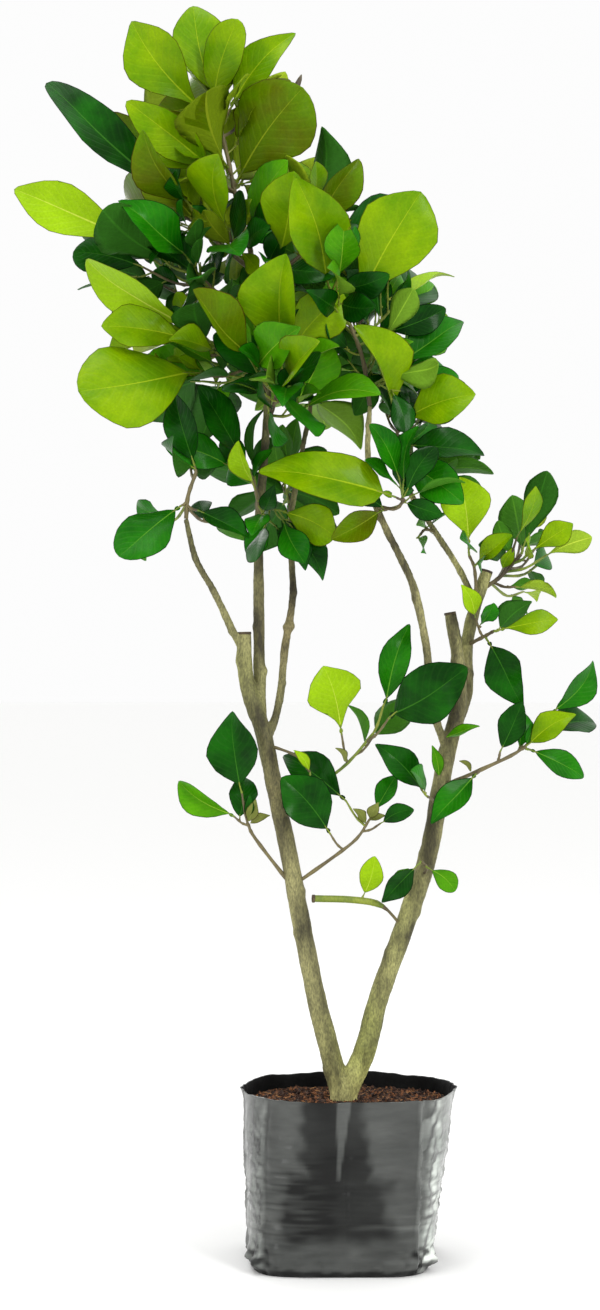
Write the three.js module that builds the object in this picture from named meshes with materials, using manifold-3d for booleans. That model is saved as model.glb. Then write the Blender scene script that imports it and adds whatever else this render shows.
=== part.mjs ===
import * as THREE from 'three';
import { mergeVertices } from 'three/addons/utils/BufferGeometryUtils.js';
import Module from 'manifold-3d';

// A young pomelo tree, forked at the soil and cut back hard, in its black film grow bag.
// Millimetres: x to the right, y to the back, z up, from the middle of the bag's flat underside.

const wasm = await Module();
wasm.setup();

const gap = 0.3;

// The bag: height, half width, half depth and how far its middle stands to one side.
const bagLevels = [
  { z: 0, halfWidth: 82, halfDepth: 72, shift: 0 },
  { z: 10, halfWidth: 92, halfDepth: 82, shift: 0 },
  { z: 90, halfWidth: 98, halfDepth: 87, shift: 4 },
  { z: 172, halfWidth: 105, halfDepth: 92, shift: 8 },
];
const bag = { sides: 28, squareness: 3.4, wall: 2, foldUp: 10, middle: 90 };
const soilLevel = 158;

// Limbs: x, y, z and radius down the middle of each, from inside its parent to its cut or tip.
// A stub that was pruned ends in a flat cut.
const limbs = {
  left_stem: {
    parent: 'trunk',
    sides: 10,
    steps: 12,
    path: [
      [2, 0, 172, 12], [-7, 0, 207, 11], [-24, -3, 262, 9.7], [-39, -6, 339, 9.2], [-52, -8, 409, 8.8],
      [-67, -9, 480, 8.4], [-77, -9, 529, 8.2], [-89, -8, 560, 7.9], [-95, -8, 592, 7.6], [-96, -8, 626, 7.4],
    ],
  },
  right_stem: {
    parent: 'trunk',
    sides: 10,
    steps: 12,
    path: [
      [4, 0, 172, 12], [21, 1, 207, 11.4], [39, 2, 262, 10.2], [67, 4, 339, 9.9], [90, 6, 409, 9.4],
      [100, 8, 469, 8.9], [110, 10, 515, 8.4], [120, 12, 559, 7.8], [118, 12, 604, 6.6], [111, 12, 646, 5.8],
    ],
  },
  left_leader: {
    parent: 'left_stem',
    sides: 8,
    steps: 14,
    path: [
      [-78, -9, 532, 5.5], [-80, 1, 575, 6], [-81, 1, 620, 5.8], [-81, 2, 734, 4.8], [-76, 4, 800, 4.2],
      [-72, 6, 870, 3.7], [-76, 6, 940, 3.2], [-90, 4, 1010, 2.8], [-104, 2, 1060, 2.4],
    ],
  },
  left_outer_branch: {
    parent: 'left_stem',
    sides: 7,
    steps: 8,
    path: [
      [-96, -8, 606, 4.2], [-108, -14, 630, 3.9], [-126, -26, 668, 3.5], [-143, -38, 699, 3.3],
      [-152, -44, 738, 2.9],
    ],
  },
  left_inner_branch: {
    parent: 'left_stem',
    sides: 7,
    steps: 12,
    path: [
      [-75, -9, 512, 4.4], [-61, 4, 556, 4.1], [-55, 14, 612, 3.9], [-47, 24, 668, 3.8], [-50, 34, 731, 3.3],
      [-42, 46, 790, 2.9], [-30, 54, 850, 2.5],
    ],
  },
  right_outer_branch: {
    parent: 'right_stem',
    sides: 8,
    steps: 8,
    path: [
      [113, 10, 525, 6], [128, 24, 566, 6.4], [129, 33, 614, 6.3], [138, 37, 654, 6.2], [150, 39, 689, 6],
    ],
  },
  right_inner_branch: {
    parent: 'right_stem',
    sides: 7,
    steps: 12,
    path: [
      [107, 9, 508, 4.4], [93, -5, 552, 4.2], [85, -12, 616, 4.1], [71, -18, 676, 4], [46, -24, 727, 3.8],
      [31, -28, 765, 3.4], [27, -32, 810, 3], [29, -34, 850, 2.6],
    ],
  },
  right_arching_branch: {
    parent: 'right_outer_branch',
    sides: 6,
    steps: 10,
    path: [
      [138, 37, 654, 3.4], [124, 34, 686, 3.3], [103, 26, 719, 3.2], [78, 14, 755, 3], [64, 8, 778, 2.8],
      [52, 2, 797, 2.5],
    ],
  },
};

// The trunk is short: a flared foot on the soil, and the two arms that the stems go on from.
const trunk = {
  x: 3,
  footRadius: 18,
  flareHeight: 14,
  neckRadius: 13,
  neckHeight: 172,
  forkRadius: 10,
  forkHeight: 186,
  armHeight: 206,
  sides: 12,
  footSteps: 6,
  armSteps: 4,
};

// Foliage. Each mass has one stem, from a place on its limb, as a share of the limb's length, through
// the points given. A shoot leaves the stem at a share of its length, and its lead leaf ends at the
// tip: [share, tip x, tip y, tip z, lead leaf's length, leaves below the lead leaf, breadth].
// Twins are the same shoots on the far side of the crown, drawn in a little and turned.
const masses = {
  crown_top: {
    limb: 'left_leader', share: 1, reach: 210, radius: 2.3, twins: 0.6,
    stem: [[-112, -2, 1100], [-124, -4, 1150]],
    shoots: [
      [1, -147, -6, 1254, 96, 2, 0.6], [0.7, -205, -40, 1228, 118, 1, 0.5],
      [0.85, -52, -46, 1218, 98, 1, 0.42],
      [0.15, -46, -62, 1158, 120, 2, 0.7], [0.3, -140, -92, 1146, 104, 1, 0.6],
      [0.1, -203, -64, 1144, 108, 1, 0.38],
    ],
  },
  upper_left_foliage: {
    limb: 'left_leader', share: 0.83, reach: 250, radius: 2.2, twins: 0.5,
    stem: [[-122, -10, 1015], [-150, -16, 1040]],
    shoots: [
      [1, -290, -18, 1178, 160, 1, 0.3], [0.6, -192, -100, 1104, 96, 1, 0.5],
      [0.25, -124, -110, 1080, 98, 1, 0.58],
      [0.1, -72, -60, 1092, 92, 0, 0.56],
    ],
  },
  left_tip_foliage: {
    limb: 'left_leader', share: 0.72, reach: 240, radius: 2.2, twins: 0.6,
    stem: [[-104, -10, 948], [-142, -18, 982]],
    shoots: [
      [1, -322, -30, 1072, 150, 1, 0.32], [0.85, -268, 8, 1012, 76, 1, 0.54],
      [0.6, -202, -98, 1044, 90, 1, 0.54],
    ],
  },
  upper_right_foliage: {
    limb: 'left_leader', share: 0.765, reach: 230, radius: 2.3, twins: 0.5,
    stem: [[-58, -6, 985], [-28, -8, 1012]],
    shoots: [
      [1, -12, 24, 1132, 86, 1, 0.56], [0.8, 20, -34, 1092, 88, 1, 0.46], [0.9, 86, 20, 1056, 104, 1, 0.44],
      [0.3, -46, -118, 1060, 104, 1, 0.54],
    ],
  },
  middle_left_foliage: {
    limb: 'left_leader', share: 0.62, reach: 230, radius: 2.3, twins: 0.6,
    stem: [[-100, -10, 894], [-125, -16, 914]],
    shoots: [
      [1, -258, -10, 988, 120, 1, 0.38], [0.9, -230, -64, 930, 98, 1, 0.5],
      [0.4, -252, -90, 866, 128, 1, 0.72],
    ],
  },
  middle_front_foliage: {
    limb: 'left_leader', share: 0.55, reach: 200, radius: 2.2, twins: 0,
    stem: [[-66, -24, 852], [-58, -42, 876]],
    shoots: [
      [1, -58, -120, 982, 104, 1, 0.7], [0.7, -136, -130, 950, 98, 2, 0.5], [0.3, 34, -100, 858, 94, 1, 0.44],
      [0.5, -30, -160, 900, 96, 1, 0.5],
    ],
  },
  middle_right_foliage: {
    limb: 'right_inner_branch', share: 1, reach: 190, radius: 2.3, twins: 0.6,
    stem: [[22, -38, 895], [8, -42, 932]],
    shoots: [
      [1, 76, -74, 1054, 136, 0, 0.58], [0.95, -68, -100, 1062, 118, 1, 0.54],
      [0.8, 110, -10, 993, 76, 1, 0.38],
      [0.4, 60, 14, 962, 66, 1, 0.5], [0.2, 124, -14, 942, 88, 1, 0.5],
    ],
  },
  back_foliage: {
    limb: 'left_inner_branch', share: 1, reach: 220, radius: 2.3, twins: 0,
    stem: [[-28, 70, 896], [-34, 86, 940]],
    shoots: [
      [1, -36, 124, 1050, 104, 3, 0.5], [0.8, 46, 120, 1000, 104, 2, 0.5],
      [0.7, -116, 136, 1004, 104, 2, 0.5],
      [0.45, 60, 132, 906, 98, 2, 0.5], [0.35, -112, 150, 900, 104, 2, 0.5], [0.2, -14, 168, 852, 98, 2, 0.5],
    ],
  },
  lower_left_foliage: {
    limb: 'left_outer_branch', share: 1, reach: 180, radius: 2.2, twins: 0.7,
    stem: [[-150, -46, 760], [-142, -44, 784]],
    shoots: [
      [1, -160, -54, 846, 72, 1, 0.5], [0.4, -214, -88, 702, 84, 0, 0.6], [0.3, -92, -84, 722, 62, 0, 0.48],
    ],
  },
  lower_middle_foliage: {
    limb: 'left_leader', share: 0.39, reach: 150, radius: 1.9, twins: 0,
    stem: [[-84, -16, 768], [-92, -26, 790]],
    shoots: [
      [1, -140, -62, 864, 82, 0, 0.52], [0.5, -98, -44, 802, 52, 0, 0.5], [0.2, -34, -50, 692, 60, 0, 0.62],
      [0.3, -6, -56, 722, 66, 0, 0.58], [0.8, -166, -54, 818, 70, 1, 0.5],
    ],
  },
  lower_back_foliage: {
    limb: 'left_inner_branch', share: 0.7, reach: 170, radius: 2, twins: 0,
    stem: [[-52, 54, 766], [-60, 72, 778]],
    shoots: [
      [1, -128, 104, 800, 88, 2, 0.5], [0.8, -30, 140, 776, 88, 2, 0.5], [0.5, -84, 116, 716, 80, 1, 0.5],
    ],
  },
  lower_right_foliage: {
    limb: 'right_inner_branch', share: 0.66, reach: 180, radius: 2, twins: 0,
    stem: [[54, -44, 748], [62, -58, 756]],
    shoots: [[1, -76, -88, 790, 136, 0, 0.42], [0.3, -6, -52, 728, 62, 1, 0.52]],
  },
  arching_foliage: {
    limb: 'right_arching_branch', share: 1, reach: 170, radius: 2.1, twins: 0.8,
    stem: [[56, -8, 822], [62, -14, 842]],
    shoots: [
      [0.7, 24, -76, 922, 98, 1, 0.62], [0.8, 114, -70, 858, 88, 0, 0.6], [1, 128, 2, 878, 66, 1, 0.5],
      [0.3, 144, -10, 812, 80, 1, 0.52], [0.15, 120, -44, 760, 74, 0, 0.55],
    ],
  },
  arch_side_foliage: {
    limb: 'right_arching_branch', share: 0.45, reach: 120, radius: 1.6, twins: 0,
    stem: [[86, 12, 730], [80, 2, 724]],
    shoots: [
      [1, 56, -22, 702, 46, 1, 0.56], [0.5, 88, 70, 742, 60, 1, 0.5],
    ],
  },
  right_upper_cluster: {
    limb: 'right_outer_branch', share: 0.86, reach: 150, radius: 2.2, twins: 0.8,
    stem: [[164, 36, 684], [184, 34, 706]],
    shoots: [
      [1, 208, 30, 781, 82, 1, 0.44], [0.8, 234, 14, 736, 52, 1, 0.5], [0.6, 256, 38, 724, 50, 1, 0.48],
      [0.3, 218, 12, 664, 44, 1, 0.46], [0.5, 198, 4, 772, 56, 1, 0.5],
    ],
  },
  right_middle_cluster: {
    limb: 'right_outer_branch', share: 0.78, reach: 150, radius: 1.8, twins: 0,
    stem: [[136, 20, 690], [130, 12, 704]],
    shoots: [
      [1, 122, -14, 780, 70, 1, 0.74], [0.6, 166, -14, 724, 50, 1, 0.5],
    ],
  },
  right_lower_cluster: {
    limb: 'right_outer_branch', share: 0.5, reach: 140, radius: 2, twins: 0,
    stem: [[144, 14, 622], [154, 2, 628]],
    shoots: [
      [1, 212, -18, 640, 60, 1, 0.5], [0.6, 176, -24, 558, 78, 0, 0.52], [0.5, 122, -22, 672, 40, 1, 0.5],
    ],
  },
  right_low_twig: {
    limb: 'right_stem', share: 0.56, reach: 150, radius: 2.2, twins: 0,
    stem: [[131, -14, 486], [169, -20, 504], [184, -20, 514]],
    shoots: [
      [0.95, 232, -18, 490, 62, 0, 0.42], [0.85, 228, -44, 546, 58, 0, 0.5], [1, 255, -10, 598, 70, 1, 0.46],
      [0.55, 170, -30, 562, 56, 0, 0.5], [0.4, 108, -34, 460, 68, 0, 0.46], [0.7, 214, 40, 540, 62, 1, 0.5],
    ],
  },
  right_front_twig: {
    limb: 'right_stem', share: 0.52, reach: 110, radius: 1.6, twins: 0,
    stem: [[92, -14, 460], [86, -26, 464]],
    shoots: [[1, 40, -44, 514, 68, 1, 0.46]],
  },
  right_foot_twig: {
    limb: 'right_stem', share: 0.4, reach: 110, radius: 1.6, twins: 0,
    stem: [[86, -14, 392], [80, -24, 400]],
    shoots: [[1, 44, -38, 363, 50, 0, 0.48], [0.7, 107, -34, 378, 36, 0, 0.6]],
  },
  arched_low_twig: {
    limb: 'right_stem', share: 0.32, reach: 120, radius: 2, twins: 0,
    stem: [[42, -12, 354], [14, -20, 361], [-27, -26, 363]],
    shoots: [[0.6, 40, -36, 398, 42, 0, 0.56]],
  },
  left_low_twig: {
    limb: 'left_stem', share: 0.38, reach: 130, radius: 1.9, twins: 0,
    stem: [[-84, -16, 421], [-92, -18, 437]],
    shoots: [[1, -112, -34, 545, 80, 0, 0.66], [0.9, -161, -20, 478, 66, 1, 0.46]],
  },
  inner_low_twig: {
    limb: 'left_stem', share: 0.39, reach: 130, radius: 1.9, twins: 0,
    stem: [[-6, -18, 404], [16, -24, 422], [28, -26, 440]],
    shoots: [
      [0.45, -56, -46, 484, 76, 0, 0.64], [0.9, -45, -10, 525, 84, 0, 0.46], [1, 56, -20, 486, 44, 0, 0.5],
      [0.8, 72, -32, 452, 36, 0, 0.5],
    ],
  },
  inner_green_twig: {
    limb: 'left_stem', share: 0.5, reach: 160, radius: 2, twins: 0,
    stem: [[-22, -2, 473], [8, 4, 496], [34, 10, 526]],
    shoots: [
      [0.66, -12, -26, 592, 72, 0, 0.82], [1, 72, 4, 634, 86, 0, 0.36], [0.9, 116, -16, 612, 100, 0, 0.56],
      [0.75, 76, 60, 560, 70, 1, 0.5],
    ],
  },
  small_left_twig: {
    limb: 'left_stem', share: 0.63, reach: 90, radius: 1.5, twins: 0,
    stem: [[-44, -20, 504], [-30, -26, 488]],
    shoots: [[1, -30, -40, 462, 28, 1, 0.5]],
  },
};

// Growth: a shoot bears leaves below its lead leaf, turned round it by the golden angle. What would
// come nearer than leafClear to a leaf, or than limbClear to a limb, stem or shoot, is tried again.
const growth = {
  tries: 9,
  leafClear: 5,
  limbClear: 2.5,
  farFromBone: 260,
  leastBare: 6,
  shootRadius: 0.72,
  shootTaper: [1, 0.85, 0.7],
  shootSag: 0.1,
  shootSteps: 3,
  path: [0.35, 0.6, 0.8, 1],
  stemTaper: [1, 0.9, 0.78, 0.66],
  stemSides: 4,
  stemBones: 4,
  heart: 0.7,
  leadJitter: 0.16,
  goldenTurn: 2.4,
  highest: 0.92,
  spread: 0.6,
  turnRoll: 0.8,
  lean: 0.85,
  leanRoll: 0.35,
  sideLength: { least: 0.65, range: 0.3, longest: 104 },
  sideBreadth: { least: 0.48, range: 0.12 },
};
const twin = { drawnIn: 0.14, depth: 125, share: 0.85, length: 0.88 };

// A leaf is a stalk and a blade: shares of its length, and the shape of the blade's edge.
const leafForm = {
  stalk: 0.1,
  stalkHalf: 0.016,
  stations: [0, 0.1, 0.38, 0.74],
  widestShift: 1.12,
  fullness: 0.72,
  keel: 0.02,
  leastKeel: 1.4,
  bow: { least: 0.02, range: 0.05 },
  droop: { least: 0.02, range: 0.1 },
  fold: { least: 0.06, range: 0.16 },
};
const samples = { first: 0.3, step: 0.1, along: 8, across: [-0.92, -0.46, 0, 0.46, 0.92] };

// The way a leaf's upper face looks: up, out of the crown, and to the nearer of front and back. The
// lead leaves that face the front do so squarely, and the rest more loosely.
const squarely = { out: 0.3, front: 0.85, up: 0.45, loose: 0.45 };
const loosely = { out: 0.6, front: 0.4, up: 0.5, loose: 1.1 };
const crownMiddle = { x: -60, y: 0, frontBelow: 12, lookAhead: 60 };

// A seeded dice for each shoot, so that a change to one leaves the others as they are.
const shootsPerMass = 100;

function makeDice(seed) {
  let state = (seed * 7919 + 12345) >>> 0;
  return () => {
    state = (Math.imul(state, 1664525) + 1013904223) >>> 0;
    return state / 4294967296;
  };
}

function rolled({ least, range }, dice) {
  return least + range * dice();
}

function anyWay(dice) {
  return new THREE.Vector3(dice() - 0.5, dice() - 0.5, dice() - 0.5);
}

function vector(p) {
  return new THREE.Vector3(p[0], p[1], p[2]);
}

// A smooth line through points of x, y, z and radius.
function smoothLine(points) {
  const curve = new THREE.CatmullRomCurve3(points.map(vector), false, 'catmullrom', 0.5);
  const last = points.length - 1;
  const radiusAt = (t) => {
    const i = Math.min(Math.floor(t * last), last - 1);
    return THREE.MathUtils.lerp(points[i][3], points[i + 1][3], t * last - i);
  };
  return { at: (t) => curve.getPoint(t), tangent: (t) => curve.getTangent(t), radiusAt };
}

// A place on the straight lengths that a line is drawn with, so that what is rooted there is sunk in.
function chordAt(line, steps, t) {
  const k = Math.min(Math.floor(t * steps), steps - 1);
  return line.at(k / steps).lerp(line.at((k + 1) / steps), t * steps - k);
}

function toSolid(geometry) {
  geometry.deleteAttribute('normal');
  geometry.deleteAttribute('uv');
  const merged = mergeVertices(geometry, 1e-4);
  return new wasm.Manifold(new wasm.Mesh({
    numProp: 3,
    vertProperties: new Float32Array(merged.attributes.position.array),
    triVerts: new Uint32Array(merged.index.array),
  }));
}

function toGeometry(solid) {
  const mesh = solid.getMesh();
  const geometry = new THREE.BufferGeometry();
  geometry.setAttribute('position', new THREE.BufferAttribute(mesh.vertProperties, 3));
  geometry.setIndex(new THREE.BufferAttribute(mesh.triVerts, 1));
  geometry.computeVertexNormals();
  return geometry;
}

// A closed cylinder whose rings are carried elsewhere: carry gets the ring and the place on a unit circle.
function carriedCylinder(sides, steps, carry) {
  const geometry = new THREE.CylinderGeometry(1, 1, 1, sides, steps);
  const position = geometry.attributes.position;
  for (let i = 0; i < position.count; i++) {
    const ring = Math.round((position.getY(i) + 0.5) * steps);
    const p = carry(ring, position.getX(i), position.getZ(i));
    position.setXYZ(i, p.x, p.y, p.z);
  }
  return toSolid(geometry);
}

// Rings square to a line from share t0 to t1, turned as little as can be from one to the next.
function ringsAlong(line, steps, { t0 = 0, t1 = 1, extra = 0, flare = () => 0, towards } = {}) {
  const rings = [];
  const across = towards ? towards.clone() : new THREE.Vector3(1, 0, 0);
  for (let k = steps; k >= 0; k--) {
    const t = t0 + (t1 - t0) * k / steps;
    const tangent = line.tangent(t);
    const middle = line.at(t);
    if (k === 0) middle.addScaledVector(tangent, -extra);
    if (k === steps) middle.addScaledVector(tangent, extra);
    across.addScaledVector(tangent, -across.dot(tangent)).normalize();
    const other = new THREE.Vector3().crossVectors(across, tangent);
    const radius = line.radiusAt(t) + extra + flare(middle.z);
    rings.unshift({ middle, across: across.clone(), other, radius });
  }
  return rings;
}

function onRing({ middle, across, other, radius }, x, z) {
  return middle.clone().addScaledVector(across, x * radius).addScaledVector(other, z * radius);
}

// A tapering round limb along a line.
function limbSolid(line, sides, steps, options) {
  const rings = ringsAlong(line, steps, options);
  return carriedCylinder(sides, steps, (k, x, z) => onRing(rings[k], x, z));
}

// The largest piece of a solid, without the scraps that a cut may leave beside it.
function mainPiece(solid) {
  return solid.decompose().reduce((most, piece) => (piece.volume() > most.volume() ? piece : most));
}

function boxesMeet(a, b) {
  return [0, 1, 2].every((i) => a.min[i] < b.max[i] && b.min[i] < a.max[i]);
}

function meets(solid, others) {
  const box = solid.boundingBox();
  return others.some((other) => boxesMeet(box, other.boundingBox()) && !solid.intersect(other).isEmpty());
}

// The bag's outline at a height, drawn in by an inset: half sizes and the middle's shift.
function bagAt(z, inset) {
  let i = 0;
  while (i < bagLevels.length - 2 && z > bagLevels[i + 1].z) i += 1;
  const low = bagLevels[i];
  const high = bagLevels[i + 1];
  const share = (z - low.z) / (high.z - low.z);
  return {
    z,
    halfWidth: THREE.MathUtils.lerp(low.halfWidth, high.halfWidth, share) - inset,
    halfDepth: THREE.MathUtils.lerp(low.halfDepth, high.halfDepth, share) - inset,
    shift: THREE.MathUtils.lerp(low.shift, high.shift, share),
  };
}

// A round-cornered square column through the bag's outline at the heights given, from the lowest up.
function bagColumn(heights, inset) {
  const rings = heights.map((z) => bagAt(z, inset));
  return carriedCylinder(bag.sides, rings.length - 1, (k, x, z) => {
    const ring = rings[k];
    const isRim = Math.hypot(x, z) > 0.5;
    const round = (Math.abs(x) ** bag.squareness + Math.abs(z) ** bag.squareness) ** (1 / bag.squareness);
    const out = isRim ? 1 / round : 0;
    return new THREE.Vector3(ring.shift + x * out * ring.halfWidth, -z * out * ring.halfDepth, ring.z);
  });
}

function makeBag() {
  const top = bagLevels.at(-1).z;
  const outside = bagColumn(bagLevels.map(({ z }) => z), 0);
  return outside.subtract(bagColumn([bag.wall, bag.foldUp, bag.middle, top + 1], bag.wall));
}

function makeSoil() {
  const inset = bag.wall + gap;
  return bagColumn([inset, bag.foldUp, bag.middle, soilLevel - gap], inset);
}

// Share of a stem's line at which it has come up to a height.
function shareAtHeight(line, height) {
  let low = 0;
  let high = 1;
  while (high - low > 1e-6) {
    const middle = (low + high) / 2;
    if (line.at(middle).z < height) low = middle;
    else high = middle;
  }
  return high;
}

function makeTrunk(lines) {
  const foot = smoothLine([
    [trunk.x, 0, soilLevel, trunk.neckRadius],
    [trunk.x, 0, trunk.neckHeight, trunk.neckRadius],
    [trunk.x, 0, trunk.forkHeight, trunk.forkRadius],
  ]);
  const flare = (z) => {
    const share = Math.max(0, 1 - (z - soilLevel) / trunk.flareHeight);
    return (trunk.footRadius - trunk.neckRadius) * share * share;
  };
  let solid = limbSolid(foot, trunk.sides, trunk.footSteps, { flare });
  for (const name of ['left_stem', 'right_stem']) {
    const t1 = shareAtHeight(lines[name], trunk.armHeight);
    solid = solid.add(limbSolid(lines[name], limbs[name].sides, trunk.armSteps, { t1 }));
  }
  return solid;
}

// Each limb from where it leaves its parent, cut a gap clear of it, and a limb a gap wider all round.
function makeLimbs(lines) {
  const slim = {};
  const wide = {};
  for (const [name, { parent, sides, steps }] of Object.entries(limbs)) {
    const t0 = parent === 'trunk' ? shareAtHeight(lines[name], trunk.armHeight + gap) : 0;
    const solid = limbSolid(lines[name], sides, steps, { t0 });
    slim[name] = wide[parent] ? mainPiece(solid.subtract(wide[parent])) : solid;
    wide[name] = limbSolid(lines[name], sides, steps, { t0, extra: gap });
  }
  return { slim, wide };
}

// A leaf: its root, the way it points, the way its upper face looks, length and breadth.
function makeLeaf(root, heading, face, length, breadth, dice) {
  const axis = heading.clone().normalize();
  const normal = face.clone().addScaledVector(axis, -face.dot(axis)).normalize();
  const side = new THREE.Vector3().crossVectors(axis, normal);
  const bow = rolled(leafForm.bow, dice);
  const droop = rolled(leafForm.droop, dice);
  const fold = rolled(leafForm.fold, dice);
  return { root, axis, normal, side, length, width: length * breadth, bow, droop, fold };
}

function halfWidthAt(leaf, u) {
  const stalkHalf = leaf.length * leafForm.stalkHalf;
  if (u <= leafForm.stalk) return stalkHalf;
  const t = (u - leafForm.stalk) / (1 - leafForm.stalk);
  return stalkHalf + leaf.width / 2 * Math.sin(Math.PI * t ** leafForm.widestShift) ** leafForm.fullness;
}

// A point of the blade: u runs from root to tip, v from the left edge, -1, to the right, 1.
function bladePoint(leaf, u, v) {
  const half = u >= 1 ? 0 : halfWidthAt(leaf, u);
  const rise = leaf.bow * 4 * u * (1 - u) - leaf.droop * u * u;
  return leaf.root.clone()
    .addScaledVector(leaf.axis, leaf.length * u)
    .addScaledVector(leaf.side, v * half)
    .addScaledVector(leaf.normal, leaf.length * rise + leaf.fold * Math.abs(v) * half);
}

function leafSamples(leaf) {
  const points = [];
  for (let i = 0; i < samples.along; i++) {
    for (const v of samples.across) points.push(bladePoint(leaf, samples.first + samples.step * i, v));
  }
  return points;
}

// A corner of the blade's three-sided section: two edges, and a keel under the midrib.
function bladeCorner(leaf, station, x, z, extra) {
  const keel = Math.max(leafForm.leastKeel, leaf.length * leafForm.keel);
  const isCorner = Math.hypot(x, z) > 0.5;
  const v = isCorner ? -Math.round(x) : 0;
  const isTip = station === leafForm.stations.length;
  const p = bladePoint(leaf, isTip ? 1 : leafForm.stations[station], v).addScaledVector(leaf.side, v * extra);
  if (isTip) return p.addScaledVector(leaf.axis, extra);
  return p.addScaledVector(leaf.normal, isCorner && v === 0 ? -keel - extra : extra);
}

// A leaf as a closed blade, with its root sunk in the twig.
function leafSolid(leaf, extra = 0) {
  return carriedCylinder(3, leafForm.stations.length, (k, x, z) => bladeCorner(leaf, k, x, z, extra));
}

// A shoot that goes on into its lead leaf, as one closed body.
function shootSolid(shoot, extra = 0) {
  const { line, lead } = shoot;
  const steps = growth.shootSteps - 1;
  if (!lead) return limbSolid(line, 3, steps, { extra });
  const rings = ringsAlong(line, steps, { extra, towards: lead.side.clone().negate() });
  return carriedCylinder(3, steps + leafForm.stations.length, (k, x, z) => (
    k <= steps ? onRing(rings[k], x, z) : bladeCorner(lead, k - steps, x, z, extra)));
}

// Straight lengths of a limb, stem or shoot, to keep leaves clear of it.
function bonesOf(line, steps, owner, shoot) {
  const bones = [];
  for (let k = 0; k < steps; k++) {
    const a = line.at(k / steps);
    const b = line.at((k + 1) / steps);
    bones.push({ a, b, radius: line.radiusAt((k + 0.5) / steps), owner, shoot });
  }
  return bones;
}

function distanceToBone(p, bone) {
  const along = bone.b.clone().sub(bone.a);
  const share = THREE.MathUtils.clamp(p.clone().sub(bone.a).dot(along) / along.lengthSq(), 0, 1);
  return p.distanceTo(bone.a.clone().addScaledVector(along, share)) - bone.radius;
}

function clearOfBones(points, bones) {
  const middle = points[Math.floor(points.length / 2)];
  return bones.every((bone) => bone.a.distanceTo(middle) > growth.farFromBone
    || points.every((p) => distanceToBone(p, bone) > growth.limbClear));
}

function clearOfLeaves(root, length, points, leaves) {
  return leaves.every((other) => other.root.distanceTo(root) > other.length + length + growth.leafClear
    || points.every((p) => other.points.every((q) => p.distanceTo(q) > growth.leafClear)));
}

// A shoot's line: it leaves its stem a little flatter than it goes on.
function shootLine(start, end, radius) {
  const middle = start.clone().lerp(end, 0.5);
  middle.z -= start.distanceTo(end) * growth.shootSag;
  return smoothLine([start, middle, end].map((p, i) => [p.x, p.y, p.z, radius * growth.shootTaper[i]]));
}

// Where the shoots go: those of the table and, behind, their twins.
function shootPlans(mass) {
  const plans = mass.shoots.map(([share, x, y, z, length, below, breadth]) => (
    { share, tip: new THREE.Vector3(x, y, z), length, below, breadth, way: squarely }));
  if (!mass.twins) return plans;
  const middle = vector(mass.stem[0]);
  const twins = plans.map((plan) => {
    const tip = plan.tip.clone().lerp(middle, twin.drawnIn);
    tip.y = middle.y + (twin.depth + Math.abs(plan.tip.y - middle.y) / 2) * mass.twins;
    const length = plan.length * twin.length;
    return { share: plan.share * twin.share, tip, length, below: 1, breadth: plan.breadth, way: loosely };
  });
  return [...plans, ...twins];
}

function faceFor(root, heading, way, dice) {
  const { x, y, frontBelow, lookAhead } = crownMiddle;
  const front = root.y + heading.y * lookAhead < y + frontBelow ? -1 : 1;
  const out = new THREE.Vector3(root.x - x, root.y - y, 0).normalize();
  return anyWay(dice).multiplyScalar(way.loose)
    .addScaledVector(out, way.out)
    .add(new THREE.Vector3(0, front * way.front, way.up));
}

// Each mass's stem, from its limb.
function growStems(lines, bones) {
  return Object.entries(masses).map(([name, mass]) => {
    const points = [lines[mass.limb].at(mass.share), ...mass.stem.map(vector)];
    const stem = smoothLine(points.map((p, i) => [p.x, p.y, p.z, mass.radius * growth.stemTaper[i]]));
    const stemSteps = 2 * mass.stem.length;
    bones.push(...bonesOf(stem, growth.stemBones, name, 'stem'));
    return { name, mass, stem, stemSteps, heart: stem.at(growth.heart), shoots: [] };
  });
}

// The shoots of a mass that find a way clear of every limb and every other mass's wood.
function growShoots(one, m, bones) {
  shootPlans(one.mass).forEach((plan, s) => {
    const start = chordAt(one.stem, one.stemSteps, plan.share);
    const heading = plan.tip.clone().sub(start);
    const reach = heading.length();
    const bare = Math.max(reach - plan.length, growth.leastBare);
    const end = start.clone().addScaledVector(heading, bare / reach);
    const line = shootLine(start, end, one.mass.radius * growth.shootRadius);
    const others = bones.filter((bone) => bone.owner !== one.name);
    if (!clearOfBones(growth.path.map((t) => line.at(t)), others)) return;
    const dice = makeDice(m * shootsPerMass + s + 1);
    one.shoots.push({ plan, line, id: s, dice, lead: null, leaves: [] });
    bones.push(...bonesOf(line, growth.shootSteps, one.name, s));
  });
}

// A leaf at a root on a shoot, or null where no try finds it room.
function growLeaf({ one, shoot, bones, leaves }, root, makeHeading, way, length, breadth) {
  const others = bones.filter((bone) => bone.owner !== one.name || bone.shoot !== shoot.id);
  for (let k = 0; k < growth.tries; k++) {
    const heading = makeHeading(k);
    const face = faceFor(root, heading, way, shoot.dice);
    const leaf = makeLeaf(root, heading, face, length, breadth, shoot.dice);
    const points = leafSamples(leaf);
    const isInside = points.every((p) => p.distanceTo(one.heart) < one.mass.reach);
    if (isInside && clearOfBones(points, others) && clearOfLeaves(root, length, points, leaves)) {
      leaves.push({ root, length, points });
      return leaf;
    }
  }
  return null;
}

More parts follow.
